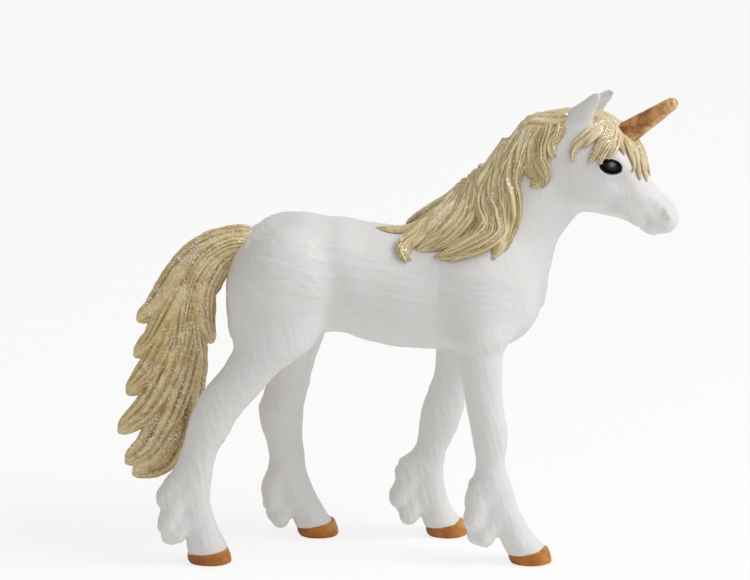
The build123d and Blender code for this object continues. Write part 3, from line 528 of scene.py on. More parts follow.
def headField(p, eared):
    # ovals stacked down the head, then what stands out, what is sunk, the ears, and rim and dish of the eyes
    s, t, v = headLocal(p)
    q = np.stack([s, t, np.abs(v)], 1)
    field = stackField(s, t, v, headRows)
    for centre, radii, room in faceBumps.values():
        field = blendMin(field, ovoidField(q - np.array(centre, np.float32), radii), room)
    for centre, radii, room in faceHollows.values():
        field = blendCut(field, ovoidField(q - np.array(centre, np.float32), radii), room)
    for rows, room in faceLines.values():
        field = blendCut(field, coneField(q, rows), room)
    near = np.nonzero((s < ear["behind"]) & (t > ear["above"]))[0]        # only the poll can touch an ear
    for side in (-1, 1) if eared else ():
        field[near] = blendMin(field[near], earField(p[near], side), blends["ears"])
    a, b, c = eyeLocal(q)
    share = np.sqrt((a / eye["half"]) ** 2 + (b / eye["tall"]) ** 2) + 1e-4
    outline = np.hypot(a, b) * (1 - 1 / share)
    field = blendMin(field, np.hypot(outline, c + eye["rimSunk"]) - eye["rim"], eye["rimBlend"])
    return blendCut(field, np.maximum(outline, -c - eye["dish"]), eye["dishBlend"])


def trunkField(p):
    # ovals stacked along the trunk, with the same muscles on both sides
    field = stackField(p[:, 0], p[:, 2], p[:, 1], trunkRows)
    rightSide = np.stack([p[:, 0], -np.abs(p[:, 1]), p[:, 2]], 1)
    for centre, radii, tilt, room in muscles.values():
        field = blendMin(field, blobField(rightSide, centre, radii, tilt), room)
    return field


def skinField(p, eared=True):
    # whole skin: trunk and legs, then neck, then head
    field = trunkField(p)
    for leg in legs.values():
        field = blendMin(field, legField(p, leg), blends["legs"])
    # the shoulder rises from a crease where the ribs end; the flank is hollow
    x, z = p[:, 0], p[:, 2]
    window = smoothStep(*shoulder["low"], z) * (1 - smoothStep(*shoulder["high"], z))
    edge = shoulder["edge"] + shoulder["lean"] * (z - shoulder["middle"])
    ramp = np.clip((x - edge) / shoulder["ramp"], 0, 1)
    field = field - shoulder["rise"] * window * ramp * (2 - ramp) * (1 - smoothStep(*shoulder["front"], x))
    window = smoothStep(*flank["low"], z) * (1 - smoothStep(*flank["high"], z))
    ahead = x + flank["behind"] + flank["lean"] * (z - flank["middle"])
    field = field + flank["depth"] * window * np.exp(-(ahead / flank["width"]) ** 2)
    along, rise = localTo(p, neckBase, neckAxis, neckCrest)
    field = blendMin(field, stackField(along, rise, p[:, 1], neckRows), blends["neck"])
    return blendMin(field, headField(p, eared), blends["head"])


seams = {"neck": 2.2, "neckBow": 0.03, "earRoom": 0.7, "foreTop": 40.5, "hindTop": 42.0, "inner": 2.4,
         "legRoom": 2.6, "tuftTop": 22.0, "tongue": 0.9, "drop": 0.16}
trunkNeighbours = list(legs) + ["head_neck"]


def regionOf(p, name):
    # below zero inside the region of one moulded piece
    if name == "torso":
        return np.max([-regionOf(p, other) for other in trunkNeighbours], 0)
    if name == "head_neck":
        return seams["neck"] - localTo(p, neckBase, neckAxis)[0] - seams["neckBow"] * (p[:, 1] ** 2)
    if name in earSides:
        place = earLocal(p, earSides[name])
        return np.maximum(earLeaf(*place) - seams["earRoom"], ear["cut"] - place[0])
    leg = legs[name]
    high = seams["foreTop"] if "fore" in name else seams["hindTop"]
    # the whole tuft belongs to the leg
    around = np.minimum(legShaft(p, leg) - seams["legRoom"], p[:, 2] - seams["tuftTop"])
    return np.maximum(np.maximum(around, p[:, 2] - high), seams["inner"] - leg["side"] * p[:, 1])


def pieceField(name):
    # one moulded piece: the skin inside its region, with an edge that runs on under its neighbour
    def field(p):
        region = regionOf(p, name)
        if name == "head_neck":
            region = np.max([region] + [-regionOf(p, other) for other in earSides], 0)
        past = np.clip(region / seams["tongue"], 0, 1)
        made = np.maximum(skinField(p) + seams["drop"] * past * past, region - seams["tongue"])
        if name in legs:
            top = coronetTop(p[:, 0] - legs[name]["hoof"][0])
            made = np.maximum(made, (top + coronet["seam"] - p[:, 2]) / math.hypot(1, coronetSlant))
        return made
    return field


fur = {  # length and thickness of the combed strokes, how far they lean, coarse and fine
    "barrel": {"long": 4.2, "thin": 0.50, "lean": 0.12, "fineLong": 2.6, "fineThin": 0.34, "fineLean": 0.16},
    "limb": {"long": 3.6, "thin": 0.52, "lean": 0.25, "fineLong": 2.0, "fineThin": 0.34, "fineLean": 0.35},
    "height": 0.085, "fineHeight": 0.045, "stagger": 0.18, "wave": 0.25, "waveRun": 4,
    "face": (-12.5, -8.5), "faceLess": 0.7, "earShare": 0.3, "hoofEdge": (2.2, 3.4), "upperLeg": (24, 32),
    "upperLess": 0.4, "seamEdge": (-2.2, -0.2)}


def strokes(points, kind):
    # combed fur: noise drawn out along the lie of the hair, two sizes over each other
    x, y, z = points.T
    hair = fur[kind]
    if kind == "barrel":
        wavy = z + hair["lean"] * x + fur["wave"] * np.sin(x / fur["waveRun"])
        lie = np.stack([x / hair["long"] + fur["stagger"] * z, y / hair["thin"], wavy / hair["thin"]], 1)
        leant = z + hair["fineLean"] * x
        fine = np.stack([x / hair["fineLong"], y / hair["fineThin"], leant / hair["fineThin"]], 1)
    else:
        lie = np.stack([(x + hair["lean"] * z) / hair["thin"], y / hair["thin"], z / hair["long"]], 1)
        leant = x + hair["fineLean"] * z
        fine = np.stack([leant / hair["fineThin"], y / hair["fineThin"], z / hair["fineLong"]], 1)
    return fur["height"] * latticeNoise(lie, 5) + fur["fineHeight"] * latticeNoise(fine, 9)


skinGrids = {  # low corner, high corner, grid step
    "torso": ((-29, -12.5, 31), (25, 12.5, 58), 0.27),
    "head_neck": ((2, -11, 38), (48, 11, 76), 0.23),
    "right_hind": ((-41, -13.5, 0), (-8, -1, 50), 0.24),
    "left_hind": ((-28, 1, 0), (-6, 13.5, 50), 0.24),
    "right_fore": ((5, -13.5, 0), (27, -1, 50), 0.24),
    "left_fore": ((-4, 1, 0), (21, 13.5, 50), 0.24),
    "right_ear": ((24, -7.5, 68.5), (36, 2, 77.5), 0.13),
    "left_ear": ((24, -2, 68), (38, 7, 77.5), 0.13),
}


def bodyPieces(barrelCoat, limbCoat):
    # each piece's surface is moved outward by the fur's strokes, which fade towards face, hooves and seams
    coarser = 1.0
    for name, (low, high, step) in skinGrids.items():
        onTrunk = name == "torso"
        points, quads, normals = skinMesh(pieceField(name), low, high, step * coarser)
        move = strokes(points, "barrel" if onTrunk else "limb")
        if name in legs:
            z = points[:, 2]
            upper = smoothStep(*fur["upperLeg"], z)
            move = move * smoothStep(*fur["hoofEdge"], z) * (1 - fur["upperLess"] * upper)
        elif not onTrunk:
            onFace = smoothStep(*fur["face"], headLocal(points)[0])
            move = move * (1 - fur["faceLess"] * onFace) * (fur["earShare"] if name in earSides else 1)
        region = regionOf(points.astype(np.float32), "head_neck" if name in earSides else name)
        move = move * (1 - smoothStep(*fur["seamEdge"], region))
        points = points + normals * move[:, None]
        nodeName = name + "_leg" if name in legs else name
        material = barrelCoat if onTrunk else limbCoat
        meshPiece("skin_" + nodeName, points, [quads], material, [nodeName])
    print("body done")


coat = {"pale": "#f1f1f1", "shade": "#e9e9e8", "patch": 9, "hairHeight": 0.09, "soft": 0.6}


def coatMaterial(name, tilt, hairSize):
    # matte white moulded PVC: pale neutral white, soft sheen, fine hair lines combed one way
    material, tree, shader = startMaterial(name)
    place = node(tree, "ShaderNodeTexCoord").outputs["Object"]
    patch = node(tree, "ShaderNodeTexNoise", {"Vector": place},
                 {"Scale": 1 / (coat["patch"] * mm), "Detail": 3.0, "Roughness": 0.55})
    tint = blendColours(tree, patch.outputs["Fac"], srgb(coat["shade"]), srgb(coat["pale"]))
    perHair = tuple(1 / (size * mm) for size in hairSize)
    combed = node(tree, "ShaderNodeMapping", {"Vector": place},
                  {"Rotation": (0, math.radians(tilt), 0), "Scale": perHair})
    grain = node(tree, "ShaderNodeTexNoise", {"Vector": combed.outputs[0]},
                 {"Scale": 1.0, "Detail": 2.0, "Roughness": 0.5})
    relief = node(tree, "ShaderNodeBump", {"Height": grain.outputs["Fac"]},
                  {"Strength": 0.45, "Distance": coat["hairHeight"] * mm})
    tree.links.new(tint, shader.inputs["Base Color"])
    tree.links.new(relief.outputs["Normal"], shader.inputs["Normal"])
    setSockets(shader, {"Roughness": 0.5, "Specular IOR Level": 0.35, "Subsurface Weight": 0.12,
                        "Subsurface Radius": (1.0, 0.9, 0.85), "Subsurface Scale": coat["soft"] * mm})
    return material


# hair: locks laid on a skin, each a sheet with strands and grooves


def alongPath(points, count):
    # smooth path through given points, at even steps of its length
    rows = np.asarray(points, float)
    run = np.concatenate([[0], np.cumsum(np.linalg.norm(np.diff(rows, axis=0), axis=1))])
    return through(np.column_stack([run, rows]), np.linspace(0, run[-1], count)).astype(float)


def slopeOf(field, points, reach=0.12):
    # straight out of the skin
    slope = fieldSlope(field, points.astype(np.float32), reach)
    return slope / (np.linalg.norm(slope, axis=1)[:, None] + 1e-6)


def ontoLevel(field, points, level, rounds=3, longest=1.5):
    # moves points straight out of the skin until they stand at the given height over it
    out = slopeOf(field, points)
    for turn in range(rounds):
        points = points - out * np.clip(field(points.astype(np.float32)) - level, -longest, longest)[:, None]
    return points


lockSwell = [  # share of the length, of the width, of the thickness
    (0.0, 0.62, 0.75), (0.12, 0.88, 0.95), (0.35, 1.0, 1.0), (0.6, 0.95, 0.95), (0.8, 0.72, 0.8),
    (0.93, 0.4, 0.5), (1.0, 0.1, 0.2)]
plainLock = {"rise": 0.001, "dome": 0.0, "waves": 1.5}    # rise from the skin, fall to the edges, bends
strand = {"coarse": 0.60, "fine": 0.20, "body": 0.30, "sunk": 0.15, "under": -0.5, "tuck": 0.9,
          "uneven": 0.26, "unevenMore": 0.09, "sway": 0.10, "prouder": 0.18, "coarseRound": 0.7,
          "fineRound": 0.8, "coarseShade": 0.8, "fineShade": 0.25, "edgeShade": 0.8, "bedFull": 1.1,
          "before": -0.05}


def lockTop(lock, index, u, v, grown):
    # height over the skin and painted shade of the grooves: rounded strands across the lock, unevenly wide
    # and high, with a finer set between them; the shade is deepest in the grooves and at the lock's edges;
    # the index turns each lock's pattern away from the last one's
    start = smoothStep(strand["before"], lock["rise"], v)        # some locks rise slowly from the skin
    drift = lock["drift"] * np.sin(v * math.pi * lock["waves"] + index * 1.7)[:, None]
    sway = strand["sway"] * np.sin(7 * v + index)[:, None]
    uneven = u + strand["uneven"] * np.sin(2.6 * u + index * 2.1)
    uneven = uneven + strand["unevenMore"] * np.sin(6.1 * u + index)
    phase = lock["strands"] * (uneven[None, :] + drift + sway) * math.pi / 2
    proud = 1 - strand["prouder"] * (1 - np.sin(phase * 0.74 + 2.3 * index))   # some strands stand higher
    ridge = proud * np.abs(np.cos(phase)) ** strand["coarseRound"]
    second = np.abs(np.cos(phase * 2.0 + 0.8 * np.sin(5 * v + index)[:, None])) ** strand["fineRound"]
    back = np.sqrt(np.maximum(1 - u ** 2, 0))[None, :]
    bed = lock["base"] * np.minimum(1, grown[:, 1:2] * strand["bedFull"]) * start[:, None]
    bed = bed * (1 - lock["dome"] * (1 - back))
    thick = (lock["thick"] * grown[:, 1] * start)[:, None]
    raised = strand["body"] + strand["coarse"] * ridge + strand["fine"] * second
    groove = strand["coarseShade"] * (1 - ridge) + strand["fineShade"] * (1 - second) * ridge
    groove = np.maximum(groove, strand["edgeShade"] * np.abs(u)[None, :] ** 6)
    return bed + thick * (back * raised - strand["sunk"]), groove


def hairPiece(name, field, locks, material, replaced):
    # every lock: height over the skin = base + thickness * round back * strands; its underside is sunk
    across, along = ((29, 48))
    u = np.sin(np.linspace(-1, 1, across) * math.pi / 2)
    v = np.linspace(0, 1, along)
    under = np.linspace(1, -1, 5)[1:-1]
    spread = np.concatenate([u, under * strand["tuck"]])
    ring = len(spread)
    paths = ontoLevel(field, np.concatenate([alongPath(lock["path"], along) for lock in locks]), 0.0, 4)
    outs = slopeOf(field, paths).reshape(len(locks), along, 3)
    paths = paths.reshape(len(locks), along, 3)
    sides = np.cross(np.gradient(paths, axis=1), outs)
    sides /= np.linalg.norm(sides, axis=2)[:, :, None] + 1e-9
    grown = through(lockSwell, v)
    points, levels, grooves, quads, caps = [], [], [], [], []
    i, j = np.meshgrid(np.arange(along - 1) * ring, np.arange(ring), indexing="ij")
    after = (j + 1) % ring
    lockQuads = np.stack([i + j, i + after, i + ring + after, i + ring + j], -1).reshape(-1, 4)
    for index, lock in enumerate(locks):
        wide = lock["wide"] * grown[:, 0]
        aside = spread[None, :, None] * wide[:, None, None]
        spots = paths[index][:, None, :] + sides[index][:, None, :] * aside
        top, groove = lockTop({**plainLock, **lock}, index, u, v, grown)
        below = np.ones((along, len(under)))
        points.append(spots.reshape(-1, 3))
        levels.append(np.concatenate([top, strand["under"] * below], 1).ravel())
        # painted shade for each point: from the grooves and the lock's edges, and full on the sunk underside;
        # the lowest values give the painted highlight on the crowns
        grooves.append(np.concatenate([groove, below], 1).ravel())
        first = index * along * ring
        quads.append(first + lockQuads)
        caps += [first + np.arange(ring)[::-1], first + (along - 1) * ring + np.arange(ring)]
    points = ontoLevel(field, np.concatenate(points), np.concatenate(levels))
    piece = meshPiece(name, points, [np.concatenate(quads), np.array(caps)], material, replaced)
    addAttribute(piece, "groove", np.concatenate(grooves))


fan = {"rootShare": 0.75, "shorter": 0.10, "steps": 12, "least": 6, "kept": 9, "lowBase": 0.75,
       "highBase": 1.25}


def fanOut(path, count, spread, lock):
    # a clump: the same path for several locks side by side, which part a little towards their tips
    made = []
    rows = np.asarray(path, float)
    step = np.gradient(rows, axis=0)
    flow = np.linspace(fan["rootShare"], 1.0, len(rows))[:, None]
    side = np.stack([step[:, 2], np.zeros(len(rows)), -step[:, 0]], 1)
    side /= np.linalg.norm(side, axis=1)[:, None] + 1e-9
    for index in range(count):
        offset = 0 if count == 1 else index / (count - 1) * 2 - 1
        left = fan["steps"] * (1 - fan["shorter"] * ((index * 2 + 1) % 3))   # tips end at different places
        moved = alongPath(rows + side * offset * spread * flow, fan["steps"])
        short = alongPath(moved[:max(fan["least"], int(round(left)))], fan["kept"])
        base = lock["base"] * fan["highBase" if (index + count) % 2 else "lowBase"]
        made.append({"path": short, **lock, "base": base})
    return made


maneClumps = [  # path points x, y, z; locks in the clump, spread, half width, thickness, base height, strands
    ([(26.0, -1.5, 72.0), (25.5, -3.5, 70.2), (24.2, -4.6, 68.5), (24.6, -4.9, 66.9), (25.4, -5.0, 66.3)],
     2, 0.5, 0.75, 0.8, 0.5, 2),
    ([(24.2, 0.6, 72.2), (22.6, -3.0, 70.6), (21.5, -4.5, 67.4), (21.8, -5.0, 64.6), (22.9, -5.2, 63.2),
      (22.3, -5.3, 62.0), (21.3, -5.4, 61.3)], 3, 1.3, 1.2, 1.2, 0.9, 3),
    ([(21.4, 0.8, 71.7), (19.2, -3.0, 69.0), (17.6, -4.6, 65.2), (17.0, -5.2, 62.1), (17.7, -5.6, 59.2),
      (17.8, -6.0, 57.1), (17.1, -6.6, 54.7), (16.3, -7.2, 52.4), (15.1, -7.8, 49.8)],
     3, 1.3, 1.25, 1.4, 1.1, 3),
    ([(19.4, 0.8, 69.6), (17.0, -3.0, 66.7), (15.4, -4.7, 63.3), (15.1, -5.4, 60.2), (16.6, -6.0, 57.7),
      (16.6, -6.8, 54.7), (15.1, -7.4, 52.5)], 2, 0.9, 1.2, 1.3, 0.8, 3),
    ([(17.2, 0.8, 67.4), (15.4, -3.0, 65.4), (14.1, -4.8, 62.6), (13.8, -5.6, 59.6), (15.4, -6.4, 56.5),
      (14.4, -7.0, 54.0), (11.6, -7.8, 52.3), (7.8, -8.4, 51.0), (5.8, -8.6, 50.9)],
     3, 1.4, 1.35, 1.4, 1.1, 3),
    ([(13.2, 0.8, 62.6), (11.6, -3.0, 60.4), (10.6, -5.0, 57.5), (8.1, -6.6, 54.9), (4.9, -7.6, 53.5),
      (2.7, -8.1, 52.8)], 3, 1.6, 1.4, 1.3, 0.9, 3),
    ([(11.0, 0.6, 60.2), (8.4, -3.4, 58.4), (6.2, -5.0, 56.2), (3.7, -6.4, 54.2)], 2, 1.0, 1.3, 1.2, 1.0, 3),
    ([(10.0, 0.6, 59.4), (6.8, -2.0, 58.6), (4.3, -4.0, 57.1), (2.4, -5.8, 55.0), (1.3, -7.0, 53.0),
      (1.3, -7.7, 51.5), (2.2, -8.3, 50.4)], 2, 0.8, 1.1, 1.2, 0.8, 3),
    ([(5.3, -0.8, 56.0), (1.6, -1.8, 54.8), (-0.7, -2.0, 54.2), (-3.2, -1.8, 54.2)],
     2, 0.4, 0.7, 0.7, 0.3, 2),
]
crestLocks = [  # locks that lie along the top of the neck
    {"path": [headPlace(-7.0, 4.6, 0), headPlace(-8.6, 3.2, 0), (26.0, 0.0, 72.0), (23.4, 0.0, 71.6),
              (20.4, 0.0, 70.0), (17.6, 0.0, 67.6)],
     "wide": 2.7, "thick": 0.9, "base": 1.9, "strands": 6, "drift": 0.3, "rise": 0.55, "dome": 0.85},
    {"path": [(24.0, 0.0, 71.6), (20.4, 0.0, 70.0), (17.2, 0.0, 67.2), (13.6, 0.0, 63.2), (10.4, 0.0, 60.0),
              (7.4, 0.0, 58.0)],
     "wide": 1.9, "thick": 0.8, "base": 0.8, "strands": 5, "drift": 0.3, "rise": 0.1, "dome": 0.6},
]
mane = {"drift": 0.16, "waves": 1.6, "rise": 0.09, "bedThick": 0.7, "bedBase": 0.45, "bedStrands": 4,
        "moreStrands": 1, "nearBed": 0.9, "nearBase": 0.7, "farBed": 0.8, "farBase": 0.75, "farClumps": 8,
        "farShift": (0.9, 0, 0.6)}


def clumpLocks(path, count, spread, wide, thick, base, strands, bedSpread, raised):
    # one broad low lock as a bed, and the clump's own locks on it
    look = {key: mane[key] for key in ("drift", "waves", "rise")}
    bed = {"path": path, "wide": wide + spread * bedSpread, "thick": thick * mane["bedThick"],
           "base": base * mane["bedBase"], "strands": strands + mane["bedStrands"], **look}
    own = {"wide": wide, "thick": thick, "base": base * raised, "strands": strands + mane["moreStrands"],
           **look}
    return [bed] + fanOut(path, count, spread, own)


def maneLocks():
    # the shown side's clumps, and most of them again on the far side, a little shorter
    near, far = [], []
    for index, (path, *sizes) in enumerate(maneClumps):
        near += clumpLocks(path, *sizes, mane["nearBed"], mane["nearBase"])
        if index < mane["farClumps"]:
            shorter = np.asarray(path, float)[:-1] + np.array(mane["farShift"])
            far += clumpLocks(shorter, *sizes, mane["farBed"], mane["farBase"])
    flipped = [{**lock, "path": np.asarray(lock["path"]) * np.array([1, -1, 1])} for lock in far]
    return crestLocks + near + flipped


forelockSides = [  # along the head, above its middle, aside; half width, thickness
    ([(-5.0, 5.8, 1.6), (-5.6, 4.4, 3.4), (-5.9, 2.2, 4.4), (-5.8, 0.2, 4.8), (-5.2, -1.1, 4.9),
      (-4.2, -1.8, 5.0)], 0.85, 0.85),
    ([(-5.0, 6.2, 1.0), (-4.9, 5.0, 3.2), (-5.0, 3.0, 4.5), (-4.9, 1.6, 4.9), (-4.7, 0.9, 5.0)], 0.95, 0.85),
    ([(-4.6, 6.4, 0.8), (-3.8, 5.4, 3.0), (-3.2, 3.2, 4.7), (-2.8, 1.4, 5.2), (-2.5, -0.3, 5.3)], 1.0, 0.95),
    ([(-4.0, 6.5, 0.8), (-2.9, 5.6, 2.8), (-2.2, 3.8, 4.4), (-1.7, 2.2, 5.1), (-1.4, 0.7, 5.4)], 0.95, 0.9),
    ([(-3.6, 6.5, 1.0), (-2.3, 5.8, 2.8), (-1.4, 4.6, 4.1), (-0.9, 3.6, 4.8), (-0.8, 2.7, 5.1)], 0.85, 0.85),
    ([(-3.0, 6.4, 1.6), (-1.8, 5.8, 2.9), (-0.8, 5.2, 3.5), (0.1, 4.7, 3.9), (0.7, 4.2, 4.2)], 0.6, 0.6),
    ([(-1.8, 6.1, 1.7), (0.4, 5.5, 2.6), (2.0, 4.4, 3.3), (2.9, 3.7, 3.6), (3.5, 3.1, 3.8)], 0.6, 0.6),
    ([(-0.9, 6.1, 1.2), (1.5, 5.4, 2.0), (3.4, 4.3, 2.6), (4.6, 3.5, 2.8), (5.5, 2.9, 2.9)], 0.65, 0.65),
    ([(-0.4, 6.1, 0.4), (2.2, 5.4, 0.8), (4.2, 4.5, 1.3), (5.6, 3.8, 1.6), (6.6, 3.3, 1.8)], 0.65, 0.65),
]
forelockTop = [  # the same places; half width
    ([(-8.0, 4.2, 0.2), (-6.6, 5.8, 0.2), (-4.6, 6.4, 0.1), (-2.8, 6.2, 0.0), (-1.6, 6.0, 0)], 2.4),
    ([(-7.6, 4.8, -1.6), (-6.2, 5.8, -1.9), (-4.4, 6.2, -2.2), (-2.4, 6.0, -2.4), (-0.4, 5.6, -2.6)], 1.3),
    ([(-7.6, 4.8, 1.6), (-6.2, 5.8, 1.9), (-4.4, 6.2, 2.2), (-2.4, 6.0, 2.4), (-0.4, 5.6, 2.6)], 1.3),
    ([(-0.4, 6.1, 0.0), (2.0, 5.5, 0.0), (3.8, 4.7, 0.0), (5.2, 4.0, 0.0)], 0.8),
]
forelock = {"base": 0.35, "drift": 0.2, "sideStrands": 3, "sideWaves": 1.4, "topStrands": 5, "topThick": 0.8}


def forelockLocks():
    # locks over the poll, then the ones down both sides of the head
    common = {key: forelock[key] for key in ("base", "drift")}
    locks = [{"path": [headPlace(*row) for row in rows], "wide": wide, "thick": forelock["topThick"],
              "strands": forelock["topStrands"], **common} for rows, wide in forelockTop]
    for side in (-1, 1):
        locks += [{"path": [headPlace(s, t, side * v) for s, t, v in rows], "wide": wide, "thick": thick,
                   "strands": forelock["sideStrands"], "waves": forelock["sideWaves"], **common}
                  for rows, wide, thick in forelockSides]
    return locks


tailFlows = [  # x, z of the path, half width, half thickness, y
    ([(-21.5, 51.0), (-24.4, 51.5), (-27.4, 51.0), (-31.0, 49.3), (-34.3, 46.1), (-36.5, 42.8), (-38.5, 40.2),
      (-41.5, 37.9)], 2.4, 1.7, -1.3),
    ([(-22.5, 50.2), (-28.1, 49.4), (-32.6, 46.0), (-35.0, 41.8), (-37.0, 37.9), (-39.0, 34.6),
      (-42.0, 32.0)], 2.5, 1.8, -1.5),
    ([(-27.5, 49.0), (-32.6, 44.2), (-35.0, 39.0), (-36.8, 34.2), (-39.2, 29.7), (-43.2, 25.8)],
     2.6, 1.8, -1.6),
    ([(-28.5, 48.0), (-32.8, 41.0), (-34.6, 35.0), (-36.5, 29.2), (-39.6, 23.8), (-44.6, 19.4)],
     2.6, 1.8, -1.7),
    ([(-31.8, 39.0), (-33.6, 31.0), (-35.4, 25.4), (-37.5, 20.9), (-40.0, 17.0), (-43.5, 14.3)],
     2.5, 1.7, -1.6),
    ([(-31.6, 34.0), (-33.2, 26.4), (-34.9, 19.8), (-37.6, 14.8), (-42.4, 12.4)], 2.4, 1.6, -1.3),
    ([(-31.4, 33.0), (-32.6, 26.8), (-34.0, 21.6), (-35.8, 17.4), (-38.2, 14.4)], 1.9, 1.5, -1.1),
    ([(-30.0, 48.0), (-33.2, 43.9), (-34.3, 38.3), (-35.0, 32.5), (-37.0, 27.2)], 1.7, 1.2, -2.5),
    ([(-28.6, 47.2), (-31.9, 43.1), (-32.2, 38.3), (-31.6, 33.4), (-30.9, 29.8)], 1.5, 1.5, -1.4),
    ([(-22.4, 50.6), (-25.6, 50.3), (-28.1, 48.8), (-30.1, 45.7), (-31.0, 42.2), (-30.8, 38.2),
      (-29.5, 34.4)], 2.1, 1.5, -2.4),
    ([(-22.2, 49.6), (-25.6, 49.2), (-27.8, 46.6), (-29.6, 43.2), (-30.6, 40.4)], 1.3, 1.4, -1.2),
    ([(-22.0, 51.0), (-25.5, 51.0), (-29.6, 49.2), (-31.9, 46.1), (-33.0, 42.8), (-33.5, 40.0)],
     1.7, 1.2, -2.9),
]
tailCore = ([(-20.5, 50.2), (-25.0, 50.2), (-29.0, 48.8), (-32.2, 45.6), (-34.2, 40.0), (-35.2, 33.0),
             (-36.6, 25.0), (-38.0, 18.6), (-39.2, 15.0)], 2.9, 2.3, 0)
tailSwell = [  # share of the length, of the width
    (0.0, 0.55), (0.15, 0.85), (0.45, 1.0), (0.7, 0.97), (0.84, 0.82), (0.93, 0.60), (0.98, 0.36),
    (1.0, 0.10)]
tail = {"strands": 5.0, "ripple": 0.16, "rippleLevel": 0.75, "strandRound": 0.6, "sway": 0.55, "uneven": 0.30,
        "unevenMore": 0.16, "rootParting": 0.55, "parted": 0.8, "closing": 0.45, "closesFrom": 0.55,
        "flatTip": 0.25, "tipSteep": 5, "tipLeft": 1.02, "fadeIn": 0.06, "fadeOut": 0.85, "fadeLess": 0.6,
        "pit": 0.22, "bigPit": 1.5, "smallPit": 0.7, "bigShare": 0.65,
        "shade": 0.17, "grooveShade": 0.80, "coreShade": 0.40, "pitShade": 0.22, "endShade": 0.3}


def tailPiece(material):
    # each lock is a flat oval carried along its path, with uneven strands round its outline and shallow pits
    along, around = ((72, 52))
    turn = np.linspace(0, fullTurn, around + 1)[:-1]
    v = np.linspace(0, 1, along)
    size = through(tailSwell, v)[:, 0]
    # the two sides part, then close towards the tips
    opened = np.sin(np.clip(v / tail["parted"], 0, 1) * math.pi / 2)
    parting = tail["rootParting"] + (1 - tail["rootParting"]) * opened
    parting = parting * (1 - tail["closing"] * smoothStep(tail["closesFrom"], 1, v))
    fade = smoothStep(0, tail["fadeIn"], v) * (1 - tail["fadeLess"] * smoothStep(tail["fadeOut"], 1, v))
    fade = fade[:, None]
    thinning = (tail["flatTip"] + (1 - tail["flatTip"]) * size)[:, None]
    tipEnd = np.minimum(1, tail["tipSteep"] * (tail["tipLeft"] - v))[:, None]
    locks = [(path, wide, thick, y * hand, 1.0) for hand in (1, -1) for path, wide, thick, y in tailFlows]
    points, quads, ends, grooves = [], [], [], []
    count = 0
    for index, (path, wide, thick, y, rippled) in enumerate(locks + [(*tailCore, 0.0)]):
        line = alongPath([(x, y, z) for x, z in path], along)
        line[:, 1] *= parting
        step = np.gradient(line, axis=0)
        step /= np.linalg.norm(step, axis=1)[:, None]
        side = np.stack([step[:, 2], 0 * v, -step[:, 0]], 1)
        side /= np.linalg.norm(side, axis=1)[:, None]
        face = np.cross(step, side)
        uneven = turn + tail["uneven"] * np.sin(2 * turn + index * 1.3)
        uneven = uneven + tail["unevenMore"] * np.sin(3 * turn + index * 2.7)
        phase = tail["strands"] * uneven[None, :] + tail["sway"] * np.sin(2.6 * v + index)[:, None]
        ridge = np.abs(np.cos(phase)) ** tail["strandRound"]
        swollen = 1 + rippled * tail["ripple"] * fade * (ridge - tail["rippleLevel"])
        across = wide * size[:, None] * np.cos(turn)[None, :] * swollen
        out = thick * thinning * np.sin(turn)[None, :] * swollen * tipEnd
        spots = line[:, None, :] + side[:, None, :] * across[:, :, None] + face[:, None, :] * out[:, :, None]
        flat = spots.reshape(-1, 3)
        big, small = latticeNoise(flat / tail["bigPit"], 31), latticeNoise(flat / tail["smallPit"], 32)
        pits = (tail["bigShare"] * big + (1 - tail["bigShare"]) * small).reshape(across.shape) * fade
        away = side[:, None, :] * np.cos(turn)[None, :, None] + face[:, None, :] * np.sin(turn)[None, :, None]
        lockPoints, (lockQuads, lockEnds) = ringMesh(spots + tail["pit"] * away * pits[:, :, None])
        points.append(lockPoints)
        quads.append(lockQuads + count)
        ends.append(lockEnds + count)
        count += len(lockPoints)
        # painted shade for each point: the whole tail a little darker, darker in the grooves and on the
        # hidden core, lighter on the bumps and darker in the pits; one value for the end caps
        depth = (tail["shade"] + (1 - ridge) * tail["grooveShade"] * fade + tail["coreShade"] * (1 - rippled)
                 - tail["pitShade"] * pits)
        grooves.append(np.concatenate([depth.ravel(), [tail["endShade"]] * 2]))
    faces = [np.concatenate(quads), np.concatenate(ends)]
    piece = meshPiece("tail_hair", np.concatenate(points), faces, material, ["tail"])
    addAttribute(piece, "groove", np.concatenate(grooves))


hairPaint = {  # tones from the painted highlight on the crowns to the painted shade in the grooves; bar that a flake has to pass, sparse and dense; smudges; the forelock's paler tones are painted light, the tail's darker ones painted shade
    "mane": {"crownHighlight": "#fbf0cc", "light": "#f4e5b6", "dark": "#d8c184", "groove": "#7c5f2e",
             "sparse": 0.96, "dense": 0.54, "smudge": 0.25},
    "forelock": {"crownHighlight": "#fcf4da", "light": "#f7eac4", "dark": "#e2cd96", "groove": "#8a6c3c",
                 "sparse": 0.95, "dense": 0.52, "smudge": 0.15},
    "tail": {"crownHighlight": "#f1e2b2", "light": "#ead69a", "dark": "#cfb26e", "groove": "#765720",
             "sparse": 0.90, "dense": 0.42, "smudge": 0.60},
}
glitter = {"flake": 0.23, "patch": 5, "warm": "#fff6e2", "cool": "#ece0ea", "cloud": 6, "smear": 1.8,
           "dust": "#a8906a"}


